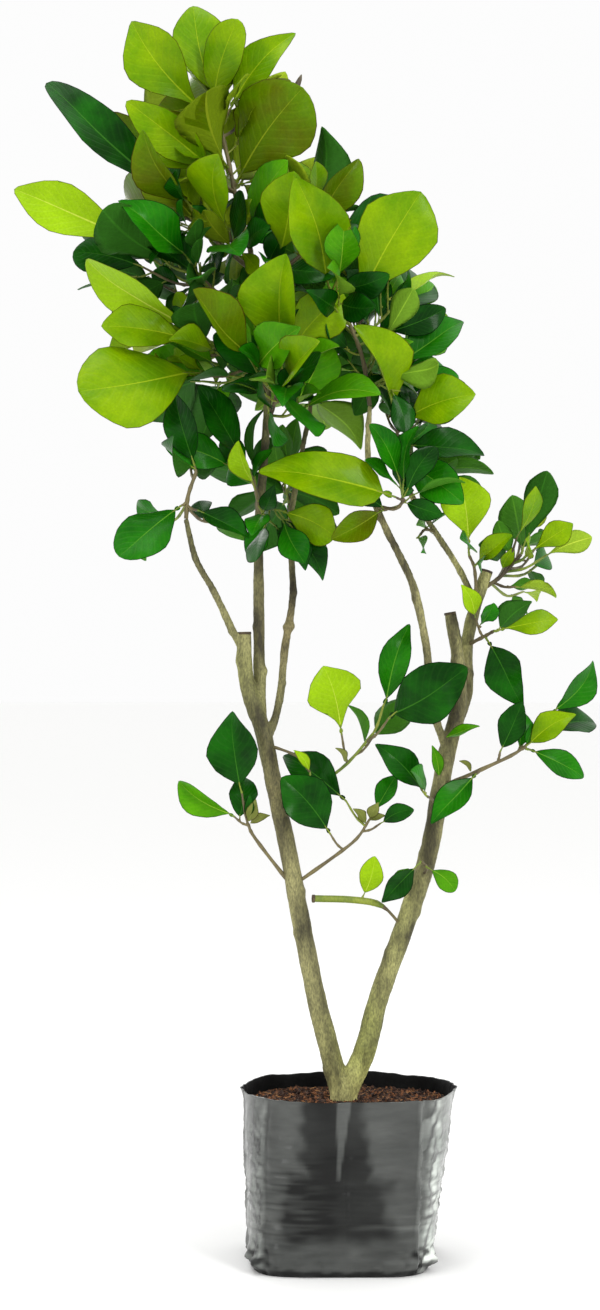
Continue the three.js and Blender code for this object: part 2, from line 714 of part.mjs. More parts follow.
function growLead(place) {
  const { plan, line, dice } = place.shoot;
  const root = line.at(1);
  const along = plan.tip.clone().sub(root).normalize();
  const heading = (k) => anyWay(dice).multiplyScalar(growth.leadJitter * k).add(along);
  place.shoot.lead = growLeaf(place, root, heading, plan.way, plan.length, plan.breadth);
}

function growSideLeaves(place) {
  const { plan, line, dice, leaves } = place.shoot;
  const phase = dice() * Math.PI * 2;
  for (let i = 0; i < plan.below; i++) {
    const share = growth.highest - growth.spread * (i + 0.5) / plan.below;
    const tangent = line.tangent(share);
    const across = new THREE.Vector3(-tangent.y, tangent.x, 0.01).normalize();
    const other = new THREE.Vector3().crossVectors(tangent, across);
    const heading = (k) => {
      const turn = phase + growth.goldenTurn * (i + k) + (dice() - 0.5) * growth.turnRoll;
      const lean = growth.lean + growth.leanRoll * (dice() - 0.5);
      return tangent.clone().multiplyScalar(Math.cos(lean))
        .addScaledVector(across, Math.sin(lean) * Math.cos(turn))
        .addScaledVector(other, Math.sin(lean) * Math.sin(turn));
    };
    const length = Math.min(plan.length * rolled(growth.sideLength, dice), growth.sideLength.longest);
    const breadth = rolled(growth.sideBreadth, dice);
    const root = chordAt(line, growth.shootSteps - 1, share);
    const leaf = growLeaf(place, root, heading, loosely, length, breadth);
    if (leaf) leaves.push(leaf);
  }
}

// The whole crown: stems first, then shoots, their lead leaves, and the leaves below those.
function growCrown(lines) {
  const bones = Object.entries(limbs)
    .flatMap(([name, { steps }]) => bonesOf(lines[name], steps, name, 'limb'));
  const grown = growStems(lines, bones);
  grown.forEach((one, m) => growShoots(one, m, bones));
  const leaves = [];
  const places = grown.flatMap((one) => one.shoots.map((shoot) => ({ one, shoot, bones, leaves })));
  places.forEach(growLead);
  places.forEach(growSideLeaves);
  return grown;
}

// Fuses a mass's stem, shoots and leaves, and leaves out what would touch another solid.
function fuseMass({ mass, stem, stemSteps, shoots }, wide, placed) {
  let solid = mainPiece(limbSolid(stem, growth.stemSides, stemSteps).subtract(wide[mass.limb]));
  for (const shoot of shoots) {
    if (meets(shootSolid(shoot, gap), placed)) shoot.lead = null;
    if (meets(shootSolid(shoot, gap), placed)) continue;
    solid = solid.add(shootSolid(shoot));
    for (const leaf of shoot.leaves) {
      if (!meets(leafSolid(leaf, gap), placed)) solid = solid.add(leafSolid(leaf));
    }
  }
  return solid;
}

const filmMaterial = new THREE.MeshStandardMaterial({ color: 0x1c1c1e, roughness: 0.25, metalness: 0 });
const soilMaterial = new THREE.MeshStandardMaterial({ color: 0x4a2c20, roughness: 0.95, metalness: 0 });
const barkMaterial = new THREE.MeshStandardMaterial({ color: 0x7a7350, roughness: 0.85, metalness: 0 });
const leafMaterial = new THREE.MeshStandardMaterial({ color: 0x5c8a1e, roughness: 0.4, metalness: 0 });

const lines = {};
for (const [name, limb] of Object.entries(limbs)) lines[name] = smoothLine(limb.path);

const tree = new THREE.Group();
const placed = [];

function place(name, solid, material) {
  const mesh = new THREE.Mesh(toGeometry(solid), material);
  mesh.name = name;
  tree.add(mesh);
  placed.push(solid);
}

place('grow_bag', makeBag(), filmMaterial);
place('soil', makeSoil(), soilMaterial);
place('trunk', makeTrunk(lines), barkMaterial);
const { slim, wide } = makeLimbs(lines);
for (const [name, solid] of Object.entries(slim)) place(name, solid, barkMaterial);
for (const one of growCrown(lines)) place(one.name, fuseMass(one, wide, placed), leafMaterial);

export default tree;
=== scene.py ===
import math

import bmesh
import bpy
import numpy as np
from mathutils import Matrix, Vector, noise


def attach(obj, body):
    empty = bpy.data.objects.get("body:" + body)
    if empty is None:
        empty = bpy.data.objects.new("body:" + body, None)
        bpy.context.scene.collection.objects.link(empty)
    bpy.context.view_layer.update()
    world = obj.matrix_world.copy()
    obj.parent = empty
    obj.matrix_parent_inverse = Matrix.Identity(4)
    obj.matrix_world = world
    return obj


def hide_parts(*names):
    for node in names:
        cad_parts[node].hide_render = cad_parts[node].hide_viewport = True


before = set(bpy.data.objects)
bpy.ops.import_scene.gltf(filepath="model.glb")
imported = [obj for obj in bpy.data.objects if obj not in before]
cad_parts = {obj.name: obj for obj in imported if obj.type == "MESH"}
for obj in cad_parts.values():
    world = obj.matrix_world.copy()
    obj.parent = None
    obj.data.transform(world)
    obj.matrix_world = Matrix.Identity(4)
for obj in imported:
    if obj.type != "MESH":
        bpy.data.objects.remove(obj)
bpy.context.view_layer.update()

# A young pomelo tree, forked at the soil and cut back hard, in its black film grow bag.
# Sizes in the tables and the growth rule are millimetres; what is made of them is in metres.

mm = 0.001

# Limbs: straight lengths, and x, y, z and radius down the middle, from inside the parent to the end.
limbs = {
    "left_stem": (12, [
        (2, 0, 172, 12), (-7, 0, 207, 11), (-24, -3, 262, 9.7), (-39, -6, 339, 9.2), (-52, -8, 409, 8.8),
        (-67, -9, 480, 8.4), (-77, -9, 529, 8.2), (-89, -8, 560, 7.9), (-95, -8, 592, 7.6),
        (-96, -8, 626, 7.4),
    ]),
    "right_stem": (12, [
        (4, 0, 172, 12), (21, 1, 207, 11.4), (39, 2, 262, 10.2), (67, 4, 339, 9.9), (90, 6, 409, 9.4),
        (100, 8, 469, 8.9), (110, 10, 515, 8.4), (120, 12, 559, 7.8), (118, 12, 604, 6.6),
        (111, 12, 646, 5.8),
    ]),
    "left_leader": (14, [
        (-78, -9, 532, 5.5), (-80, 1, 575, 6), (-81, 1, 620, 5.8), (-81, 2, 734, 4.8), (-76, 4, 800, 4.2),
        (-72, 6, 870, 3.7), (-76, 6, 940, 3.2), (-90, 4, 1010, 2.8), (-104, 2, 1060, 2.4),
    ]),
    "left_outer_branch": (8, [
        (-96, -8, 606, 4.2), (-108, -14, 630, 3.9), (-126, -26, 668, 3.5), (-143, -38, 699, 3.3),
        (-152, -44, 738, 2.9),
    ]),
    "left_inner_branch": (12, [
        (-75, -9, 512, 4.4), (-61, 4, 556, 4.1), (-55, 14, 612, 3.9), (-47, 24, 668, 3.8),
        (-50, 34, 731, 3.3), (-42, 46, 790, 2.9), (-30, 54, 850, 2.5),
    ]),
    "right_outer_branch": (8, [
        (113, 10, 525, 6), (128, 24, 566, 6.4), (129, 33, 614, 6.3), (138, 37, 654, 6.2), (150, 39, 689, 6),
    ]),
    "right_inner_branch": (12, [
        (107, 9, 508, 4.4), (93, -5, 552, 4.2), (85, -12, 616, 4.1), (71, -18, 676, 4), (46, -24, 727, 3.8),
        (31, -28, 765, 3.4), (27, -32, 810, 3), (29, -34, 850, 2.6),
    ]),
    "right_arching_branch": (10, [
        (138, 37, 654, 3.4), (124, 34, 686, 3.3), (103, 26, 719, 3.2), (78, 14, 755, 3), (64, 8, 778, 2.8),
        (52, 2, 797, 2.5),
    ]),
}

# Masses of foliage: limb, share of the way along it, reach, stem's radius, twins behind, tones of the other
# leaves, the stem on from its limb, and the shoots, which end in a lead leaf: share of the stem, tip x, y,
# z, the lead's length, leaves below it, breadth, tone and, where it shows, form and roll in degrees.
massRows = {
    "crown_top": ("left_leader", 1, 210, 2.3, 0.6, "lime lime bronze",
        [(-112, -2, 1100), (-124, -4, 1150)], [
            (1, -147, -6, 1254, 96, 2, 0.6, "lime", "oval", -34),
            (0.7, -205, -40, 1228, 118, 1, 0.5, "lime", "spoon", 20),
            (0.85, -52, -46, 1218, 98, 1, 0.42, "lime", "point", -14),
            (0.15, -46, -62, 1158, 120, 2, 0.7, "bronze", "round", -32),
            (0.3, -140, -92, 1146, 104, 1, 0.6, "bronze", "wedge", 66),
            (0.1, -203, -64, 1144, 108, 1, 0.38, "lime", "strap", 48),
    ]),
    "upper_left_foliage": ("left_leader", 0.83, 250, 2.2, 0.5, "green lime dark bronze",
        [(-122, -10, 1015), (-150, -16, 1040)], [
            (1, -290, -18, 1178, 160, 1, 0.3, "dark", "strap", -30),
            (0.6, -192, -100, 1104, 96, 1, 0.5, "bronze", "folded", 38),
            (0.25, -124, -110, 1080, 98, 1, 0.58, "lime", "wedge", -24),
            (0.1, -72, -60, 1092, 92, 0, 0.56, "fresh", "oval", 30),
    ]),
    "left_tip_foliage": ("left_leader", 0.72, 240, 2.2, 0.6, "green dark dark",
        [(-104, -10, 948), (-142, -18, 982)], [
            (1, -322, -30, 1072, 150, 1, 0.32, "pale", "spoon", 26),
            (0.85, -268, 8, 1012, 76, 1, 0.54, "dark", "round", 10),
            (0.6, -202, -98, 1044, 90, 1, 0.54, "green", "point", -4),
    ]),
    "upper_right_foliage": ("left_leader", 0.765, 230, 2.3, 0.5, "green lime dark",
        [(-58, -6, 985), (-28, -8, 1012)], [
            (1, -12, 24, 1132, 86, 1, 0.56, "dark", "point", 6),
            (0.8, 20, -34, 1092, 88, 1, 0.46, "bronze", "folded", -20),
            (0.9, 86, 20, 1056, 104, 1, 0.44, "dark", "oval", 20),
            (0.3, -46, -118, 1060, 104, 1, 0.54, "lime", "wedge", 30),
    ]),
    "middle_left_foliage": ("left_leader", 0.62, 230, 2.3, 0.6, "lime fresh dark",
        [(-100, -10, 894), (-125, -16, 914)], [
            (1, -258, -10, 988, 120, 1, 0.38, "pale", "strap", 46),
            (0.9, -230, -64, 930, 98, 1, 0.5, "lime", "wedge", 2),
            (0.4, -252, -90, 866, 128, 1, 0.72, "lime", "round", 10),
    ]),
    "middle_front_foliage": ("left_leader", 0.55, 200, 2.2, 0, "lime green dark fresh",
        [(-66, -24, 852), (-58, -42, 876)], [
            (1, -58, -120, 982, 104, 1, 0.7, "lime", "folded", 8),
            (0.7, -136, -130, 950, 98, 2, 0.5, "bronze", "folded", -26),
            (0.3, 34, -100, 858, 94, 1, 0.44, "fresh", "oval", 16),
            (0.5, -30, -160, 900, 96, 1, 0.5, "lime", "folded", -24),
    ]),
    "middle_right_foliage": ("right_inner_branch", 1, 190, 2.3, 0.6, "fresh green dark dark",
        [(22, -38, 895), (8, -42, 932)], [
            (1, 76, -74, 1054, 136, 0, 0.58, "lime", "wedge", -20),
            (0.95, -68, -100, 1062, 118, 1, 0.54, "lime", "folded", 28),
            (0.8, 110, -10, 993, 76, 1, 0.38, "pale", "point", 40),
            (0.4, 60, 14, 962, 66, 1, 0.5, "dark", "round", -18),
            (0.2, 124, -14, 942, 88, 1, 0.5, "green", "point", 26),
    ]),
    "back_foliage": ("left_inner_branch", 1, 220, 2.3, 0, "dark green fresh dark",
        [(-28, 70, 896), (-34, 86, 940)], [
            (1, -36, 124, 1050, 104, 3, 0.5, "fresh"), (0.8, 46, 120, 1000, 104, 2, 0.5, "dark"),
            (0.7, -116, 136, 1004, 104, 2, 0.5, "green"), (0.45, 60, 132, 906, 98, 2, 0.5, "dark"),
            (0.35, -112, 150, 900, 104, 2, 0.5, "green"), (0.2, -14, 168, 852, 98, 2, 0.5, "fresh"),
    ]),
    "lower_left_foliage": ("left_outer_branch", 1, 180, 2.2, 0.7, "dark green green",
        [(-150, -46, 760), (-142, -44, 784)], [
            (1, -160, -54, 846, 72, 1, 0.5, "dark", "oval", 22),
            (0.4, -214, -88, 702, 84, 0, 0.6, "green", "round", -8),
            (0.3, -92, -84, 722, 62, 0, 0.48, "dark", "point", 24),
    ]),
    "lower_middle_foliage": ("left_leader", 0.39, 150, 1.9, 0, "green dark",
        [(-84, -16, 768), (-92, -26, 790)], [
            (1, -140, -62, 864, 82, 0, 0.52, "dark", "oval", -28),
            (0.5, -98, -44, 802, 52, 0, 0.5, "pale", "folded", 20),
            (0.2, -34, -50, 692, 60, 0, 0.62, "dark", "point", 26),
            (0.3, -6, -56, 722, 66, 0, 0.58, "lime", "round", -30),
            (0.8, -166, -54, 818, 70, 1, 0.5, "green", "oval", 18),
    ]),
    "lower_back_foliage": ("left_inner_branch", 0.7, 170, 2, 0, "dark green",
        [(-52, 54, 766), (-60, 72, 778)], [
            (1, -128, 104, 800, 88, 2, 0.5, "dark"), (0.8, -30, 140, 776, 88, 2, 0.5, "green"),
            (0.5, -84, 116, 716, 80, 1, 0.5, "dark"),
    ]),
    "lower_right_foliage": ("right_inner_branch", 0.66, 180, 2, 0, "green dark",
        [(54, -44, 748), (62, -58, 756)], [
            (1, -76, -88, 790, 136, 0, 0.42, "lime", "ovate", 8),
            (0.3, -6, -52, 728, 62, 1, 0.52, "bronze", "folded", 24),
    ]),
    "arching_foliage": ("right_arching_branch", 1, 170, 2.1, 0.8, "dark green green",
        [(56, -8, 822), (62, -14, 842)], [
            (0.7, 24, -76, 922, 98, 1, 0.62, "lime", "folded", -14),
            (0.8, 114, -70, 858, 88, 0, 0.6, "lime", "wedge", -8),
            (1, 128, 2, 878, 66, 1, 0.5, "green", "oval", -20),
            (0.3, 144, -10, 812, 80, 1, 0.52, "dark", "point", 6),
            (0.15, 120, -44, 760, 74, 0, 0.55, "green", "oval", -26),
    ]),
    "arch_side_foliage": ("right_arching_branch", 0.45, 120, 1.6, 0, "green",
        [(86, 12, 730), (80, 2, 724)], [
            (1, 56, -22, 702, 46, 1, 0.56, "lime"), (0.5, 88, 70, 742, 60, 1, 0.5, "green"),
    ]),
    "right_upper_cluster": ("right_outer_branch", 0.86, 150, 2.2, 0.8, "lime green pale dark",
        [(164, 36, 684), (184, 34, 706)], [
            (1, 208, 30, 781, 82, 1, 0.44, "dark", "wedge", 22),
            (0.8, 234, 14, 736, 52, 1, 0.5, "lime", "fan", -24),
            (0.6, 256, 38, 724, 50, 1, 0.48, "pale", "wedge", 26),
            (0.3, 218, 12, 664, 44, 1, 0.46, "pale", "folded", 40),
            (0.5, 198, 4, 772, 56, 1, 0.5, "lime", "fan", -20),
    ]),
    "right_middle_cluster": ("right_outer_branch", 0.78, 150, 1.8, 0, "green dark",
        [(136, 20, 690), (130, 12, 704)], [
            (1, 122, -14, 780, 70, 1, 0.74, "pale", "wedge", 24),
            (0.6, 166, -14, 724, 50, 1, 0.5, "lime", "folded", -30),
    ]),
    "right_lower_cluster": ("right_outer_branch", 0.5, 140, 2, 0, "dark green",
        [(144, 14, 622), (154, 2, 628)], [
            (1, 212, -18, 640, 60, 1, 0.5, "lime", "fan", 20),
            (0.6, 176, -24, 558, 78, 0, 0.52, "dark", "point", -30),
            (0.5, 122, -22, 672, 40, 1, 0.5, "pale", "point", 20),
    ]),
    "right_low_twig": ("right_stem", 0.56, 150, 2.2, 0, "dark green",
        [(131, -14, 486), (169, -20, 504), (184, -20, 514)], [
            (0.95, 232, -18, 490, 62, 0, 0.42, "green", "oval", 4),
            (0.85, 228, -44, 546, 58, 0, 0.5, "lime", "point", 6),
            (1, 255, -10, 598, 70, 1, 0.46, "green", "point", -34),
            (0.55, 170, -30, 562, 56, 0, 0.5, "dark", "oval", 28),
            (0.4, 108, -34, 460, 68, 0, 0.46, "green", "point", -20),
            (0.7, 214, 40, 540, 62, 1, 0.5, "dark", "oval", 34),
    ]),
    "right_front_twig": ("right_stem", 0.52, 110, 1.6, 0, "green dark",
        [(92, -14, 460), (86, -26, 464)], [
            (1, 40, -44, 514, 68, 1, 0.46, "dark", "point", 20),
    ]),
    "right_foot_twig": ("right_stem", 0.4, 110, 1.6, 0, "dark",
        [(86, -14, 392), (80, -24, 400)], [
            (1, 44, -38, 363, 50, 0, 0.48, "dark"), (0.7, 107, -34, 378, 36, 0, 0.6, "fresh"),
    ]),
    "arched_low_twig": ("right_stem", 0.32, 120, 2, 0, "green",
        [(42, -12, 354), (14, -20, 361), (-27, -26, 363)], [
            (0.6, 40, -36, 398, 42, 0, 0.56, "pale"),
    ]),
    "left_low_twig": ("left_stem", 0.38, 130, 1.9, 0, "dark",
        [(-84, -16, 421), (-92, -18, 437)], [
            (1, -112, -34, 545, 80, 0, 0.66, "dark", "point", -14),
            (0.9, -161, -20, 478, 66, 1, 0.46, "fresh", "folded", 34),
    ]),
    "inner_low_twig": ("left_stem", 0.39, 130, 1.9, 0, "dark",
        [(-6, -18, 404), (16, -24, 422), (28, -26, 440)], [
            (0.45, -56, -46, 484, 76, 0, 0.64, "dark", "oval", 16),
            (0.9, -45, -10, 525, 84, 0, 0.46, "dark", "point", 14),
            (1, 56, -20, 486, 44, 0, 0.5, "green", "point", 26),
            (0.8, 72, -32, 452, 36, 0, 0.5, "dark", "oval", -20),
    ]),
    "inner_green_twig": ("left_stem", 0.5, 160, 2, 0, "green dark",
        [(-22, -2, 473), (8, 4, 496), (34, 10, 526)], [
            (0.66, -12, -26, 592, 72, 0, 0.82, "pale", "fan", 0),
            (1, 72, 4, 634, 86, 0, 0.36, "green", "point", 24),
            (0.9, 116, -16, 612, 100, 0, 0.56, "dark", "oval", -16),
            (0.75, 76, 60, 560, 70, 1, 0.5, "green", "point", 30),
    ]),
    "small_left_twig": ("left_stem", 0.63, 90, 1.5, 0, "fresh",
        [(-44, -20, 504), (-30, -26, 488)], [
            (1, -30, -40, 462, 28, 1, 0.5, "pale"),
    ]),
}
massKeys = ("limb", "share", "reach", "radius", "twins", "others", "stem", "shoots")
masses = {name: dict(zip(massKeys, row)) for name, row in massRows.items()}

growth = {
    "tries": 9, "leafClear": 5, "limbClear": 2.5, "farFromBone": 260, "leastBare": 6,
    "shootRadius": 0.72, "shootTaper": [1, 0.85, 0.7], "shootSag": 0.1, "shootSteps": 3,
    "path": [0.35, 0.6, 0.8, 1], "stemTaper": [1, 0.9, 0.78, 0.66], "stemBones": 4, "heart": 0.7,
    "leadJitter": 0.16, "goldenTurn": 2.4, "highest": 0.92, "spread": 0.6, "turnRoll": 0.8,
    "lean": 0.85, "leanRoll": 0.35,
    "sideLength": (0.65, 0.3), "longestSide": 104, "sideBreadth": (0.48, 0.12),
}
twin = {"drawnIn": 0.14, "depth": 125, "share": 0.85, "length": 0.88}
leafForm = {
    "stalk": 0.1, "stalkHalf": 0.016, "widestShift": 1.12, "fullness": 0.72,
    "bow": (0.02, 0.05), "droop": (0.02, 0.1), "fold": (0.06, 0.16),
}
samples = {
    "along": np.array([0.3 + 0.1 * i for i in range(8)]),
    "across": np.array([-0.92, -0.46, 0, 0.46, 0.92]),
}
# How leaves face: out from the crown's middle, to the nearer side, up, and at random.
squarely = {"out": 0.3, "front": 0.85, "up": 0.45, "loose": 0.45}
loosely = {"out": 0.6, "front": 0.4, "up": 0.5, "loose": 1.1}
crownMiddle = {"x": -60, "y": 0, "frontBelow": 12, "lookAhead": 60}
dealing = {"seedStep": 7919, "seedStart": 12345, "step": 1664525, "shift": 1013904223, "size": 2 ** 32}
seeds = {"knobs": 3000, "finer": 5000, "twigs": 7000, "leaves": 9000, "oddLeaves": 9500}


def makeDice(seed):
    state = (seed * dealing["seedStep"] + dealing["seedStart"]) % dealing["size"]

    def roll():
        nonlocal state
        state = (state * dealing["step"] + dealing["shift"]) % dealing["size"]
        return state / dealing["size"]

    return roll


def rolled(span, dice):
    return span[0] + span[1] * dice()


def pick(words, dice):
    return words[int(dice() * len(words))]


def unit(v):
    return v / math.sqrt(v @ v)


# A smooth curve through points with radii.
class SmoothLine:
    def __init__(self, points):
        self.points = [np.array(p[:3], float) for p in points]
        self.radii = [p[3] for p in points]
        self.last = len(points) - 1

    def place(self, t):
        i = min(int(t * self.last), self.last - 1)
        return i, t * self.last - i

    def at(self, t):
        i, w = self.place(t)
        b, c = self.points[i], self.points[i + 1]
        a = self.points[i - 1] if i > 0 else 2 * b - c
        d = self.points[i + 2] if i + 2 <= self.last else 2 * c - b
        start, end = 0.5 * (c - a), 0.5 * (d - b)
        bend = -3 * b + 3 * c - 2 * start - end
        return b + start * w + bend * w ** 2 + (2 * b - 2 * c + start + end) * w ** 3

    def tangent(self, t):
        return unit(self.at(min(t + 1e-4, 1)) - self.at(max(t - 1e-4, 0)))

    def radiusAt(self, t):
        i, w = self.place(t)
        return self.radii[i] * (1 - w) + self.radii[i + 1] * w


def chordAt(line, steps, t):
    k = min(int(t * steps), steps - 1)
    a, b = line.at(k / steps), line.at((k + 1) / steps)
    return a + (b - a) * (t * steps - k)


# Straight lengths of limbs, stems and shoots, to keep leaves clear of them.
class Wood:
    def __init__(self):
        self.ends, self.radii, self.owners = [], [], []

    def add(self, line, steps, owner, shoot):
        for k in range(steps):
            self.ends.append((line.at(k / steps), line.at((k + 1) / steps)))
            self.radii.append(line.radiusAt((k + 0.5) / steps))
            self.owners.append((owner, shoot))

    def others(self, isOwn):
        keep = [k for k, owner in enumerate(self.owners) if not isOwn(owner)]
        starts, stops = (np.array([self.ends[k][end] for k in keep]) for end in (0, 1))
        return starts, stops - starts, np.array([self.radii[k] for k in keep])


def clearOfWood(points, wood):
    starts, along, radii = wood
    middle = points[len(points) // 2]
    near = np.linalg.norm(starts - middle, axis=1) <= growth["farFromBone"]
    starts, along, radii = starts[near], along[near], radii[near]
    away = points[:, None, :] - starts[None]
    share = np.clip((away * along).sum(2) / (along * along).sum(1), 0, 1)
    gaps = np.linalg.norm(away - along * share[..., None], axis=2) - radii
    return bool((gaps > growth["limbClear"]).all())


def ballAround(points):
    middle = points.mean(axis=0)
    return middle, np.linalg.norm(points - middle, axis=1).max()


def clearOfLeaves(points, leaves, clear):
    middle, reach = ballAround(points)
    near = [other for other, core, span in leaves if np.linalg.norm(core - middle) <= span + reach + clear]
    if not near:
        return True
    gaps = np.linalg.norm(points[:, None, :] - np.concatenate(near)[None], axis=2)
    return bool((gaps > clear).all())


def makeLeaf(root, heading, face, length, breadth, dice):
    axis = unit(heading)
    normal = unit(face - axis * (face @ axis))
    rolls = {key: rolled(leafForm[key], dice) for key in ("bow", "droop", "fold")}
    return {"root": root, "axis": axis, "normal": normal, "side": np.cross(axis, normal),
            "length": length, "width": length * breadth, **rolls}


def bladeShare(u):
    return np.clip((u - leafForm["stalk"]) / (1 - leafForm["stalk"]), 0, 1)


def swellAt(t, shift=0.0, fullness=0.0):
    wave = np.clip(np.sin(np.pi * t ** (leafForm["widestShift"] + shift)), 0, 1)
    return wave ** (leafForm["fullness"] + fullness)


def riseAt(leaf, u):
    return leaf["length"] * (leaf["bow"] * 4 * u * (1 - u) - leaf["droop"] * u * u)


# Points of the blade for arrays of u, from root to tip, v, from edge to edge, and half widths.
def bladePoints(leaf, u, v, half):
    lift = riseAt(leaf, u) + leaf["fold"] * np.abs(v) * half
    return (leaf["root"] + leaf["axis"] * (leaf["length"] * u)[..., None]
            + leaf["side"] * (v * half)[..., None] + leaf["normal"] * lift[..., None])


def leafSamples(leaf):
    u, v = (grid.ravel() for grid in np.meshgrid(samples["along"], samples["across"], indexing="ij"))
    half = leaf["length"] * leafForm["stalkHalf"] + leaf["width"] / 2 * swellAt(bladeShare(u))
    return bladePoints(leaf, u, v, np.where(u >= 1, 0, half))


def shootLine(start, end, radius):
    middle = (start + end) / 2
    middle[2] -= np.linalg.norm(end - start) * growth["shootSag"]
    return SmoothLine([[*p, radius * taper] for p, taper in zip((start, middle, end), growth["shootTaper"])])


# A mass's own shoots, and a twin behind each where it is as deep as it is wide.
def shootPlans(mass):
    plans = [{"share": share, "tip": np.array([x, y, z], float), "length": length, "below": below,
              "breadth": breadth, "look": look, "way": squarely}
             for share, x, y, z, length, below, breadth, *look in mass["shoots"]]
    if not mass["twins"]:
        return plans
    middle = np.array(mass["stem"][0], float)
    twins = []
    for plan in plans:
        tip = plan["tip"] + (middle - plan["tip"]) * twin["drawnIn"]
        tip[1] = middle[1] + (twin["depth"] + abs(plan["tip"][1] - middle[1]) / 2) * mass["twins"]
        twins.append({**plan, "share": plan["share"] * twin["share"], "tip": tip, "look": [],
                      "length": plan["length"] * twin["length"], "below": 1, "way": loosely})
    return plans + twins


def anyWay(dice):
    return np.array([dice() - 0.5, dice() - 0.5, dice() - 0.5])


def faceFor(root, heading, way, dice):
    ahead = root[1] + heading[1] * crownMiddle["lookAhead"]
    front = -1 if ahead < crownMiddle["y"] + crownMiddle["frontBelow"] else 1
    out = unit(np.array([root[0] - crownMiddle["x"], root[1] - crownMiddle["y"], 0]))
    return anyWay(dice) * way["loose"] + out * way["out"] + np.array([0, front * way["front"], way["up"]])


def growLeaf(place, root, makeHeading, way, length, breadth):
    one, shoot, leaves = (place[key] for key in ("one", "shoot", "leaves"))
    others = place["wood"].others(lambda owner: owner == (one["name"], shoot["id"]))
    for k in range(growth["tries"]):
        heading = makeHeading(k)
        face = faceFor(root, heading, way, shoot["dice"])
        leaf = makeLeaf(root, heading, face, length, breadth, shoot["dice"])
        points = leafSamples(leaf)
        isInside = (np.linalg.norm(points - one["heart"], axis=1) < place["reach"]).all()
        if isInside and clearOfWood(points, others) and clearOfLeaves(points, leaves, place["clear"]):
            leaves.append((points, *ballAround(points)))
            return leaf
    return None


def growLead(place):
    plan, line, dice = (place["shoot"][key] for key in ("plan", "line", "dice"))
    root = line.at(1)
    along = unit(plan["tip"] - root)
    place["shoot"]["lead"] = growLeaf(
        place, root, lambda k: anyWay(dice) * growth["leadJitter"] * k + along,
        plan["way"], plan["length"], plan["breadth"])


def leaning(tangent, turn, lean):
    across = unit(np.array([-tangent[1], tangent[0], 0.01]))
    other = np.cross(tangent, across)
    return (tangent * math.cos(lean) + across * (math.sin(lean) * math.cos(turn))
            + other * (math.sin(lean) * math.sin(turn)))


def growSideLeaves(place):
    plan, line, dice = (place["shoot"][key] for key in ("plan", "line", "dice"))
    phase = dice() * math.pi * 2
    for i in range(plan["below"]):
        share = growth["highest"] - growth["spread"] * (i + 0.5) / plan["below"]

        def heading(k):
            turn = phase + growth["goldenTurn"] * (i + k) + (dice() - 0.5) * growth["turnRoll"]
            return leaning(line.tangent(share), turn, growth["lean"] + growth["leanRoll"] * (dice() - 0.5))

        length = min(plan["length"] * rolled(growth["sideLength"], dice), growth["longestSide"])
        breadth = rolled(growth["sideBreadth"], dice)
        root = chordAt(line, growth["shootSteps"] - 1, share)
        leaf = growLeaf(place, root, heading, loosely, length, breadth)
        if leaf:
            place["shoot"]["leaves"].append(leaf)


# The finer twigs: where they leave a stem or shoot, their length, and their leaves.
finer = {
    "shares": (0.34, 0.52, 0.7, 0.86), "stemShares": (0.3, 0.55, 0.8, 0.95), "longShoot": 30,
    "twig": (13, 16), "leaf": (40, 26), "breadth": (0.44, 0.14), "below": 1, "clear": 3.6,
    "twigClear": 2.2, "within": 0.86, "radius": 1.05, "lean": (0.75, 0.4), "up": 0.25, "firstId": 1000,
}
bareTwigs = {  # these carry none
    "arched_low_twig", "left_low_twig", "inner_low_twig", "inner_green_twig", "small_left_twig",
    "right_low_twig", "right_front_twig", "right_foot_twig", "right_lower_cluster", "arch_side_foliage",
    "right_middle_cluster", "right_upper_cluster", "lower_left_foliage",
}


def newShoot(plan, line, number, dice):
    return {"plan": plan, "line": line, "id": number, "dice": dice, "lead": None, "leaves": []}


def isPathClear(line, name, wood):
    path = np.array([line.at(t) for t in growth["path"]])
    return path, clearOfWood(path, wood.others(lambda owner: owner[0] == name))


# A finer order of twigs on a mass's stem and shoots, wherever they find room inside its reach.
def growFiner(one, m, wood, leaves):
    bearers = [(one["stem"], share) for share in finer["stemShares"]]
    bearers += [(shoot["line"], share) for shoot in one["shoots"] for share in finer["shares"]
                if np.linalg.norm(shoot["line"].at(1) - shoot["line"].at(0)) > finer["longShoot"]]
    for k, (line, share) in enumerate(bearers):
        dice = makeDice(seeds["finer"] + m * 100 + k)
        turn = dice() * math.pi * 2
        heading = leaning(line.tangent(share), turn, rolled(finer["lean"], dice))
        heading = heading + np.array([0, 0, finer["up"]])
        start = line.at(share)
        end = start + unit(heading) * rolled(finer["twig"], dice)
        twig = shootLine(start, end, finer["radius"])
        path, isClear = isPathClear(twig, one["name"], wood)
        if not isClear or not clearOfLeaves(path, leaves, finer["twigClear"]):
            continue
        length = rolled(finer["leaf"], dice)
        plan = {"tip": end + unit(heading) * length, "length": length, "below": finer["below"], "look": [],
                "breadth": rolled(finer["breadth"], dice), "way": loosely}
        shoot = newShoot(plan, twig, finer["firstId"] + k, dice)
        place = {"one": one, "shoot": shoot, "wood": wood, "leaves": leaves, "clear": finer["clear"],
                 "reach": one["mass"]["reach"] * finer["within"]}
        growLead(place)
        growSideLeaves(place)
        if shoot["lead"] or shoot["leaves"]:
            wood.add(twig, growth["shootSteps"], one["name"], shoot["id"])
            one["finer"].append(shoot)


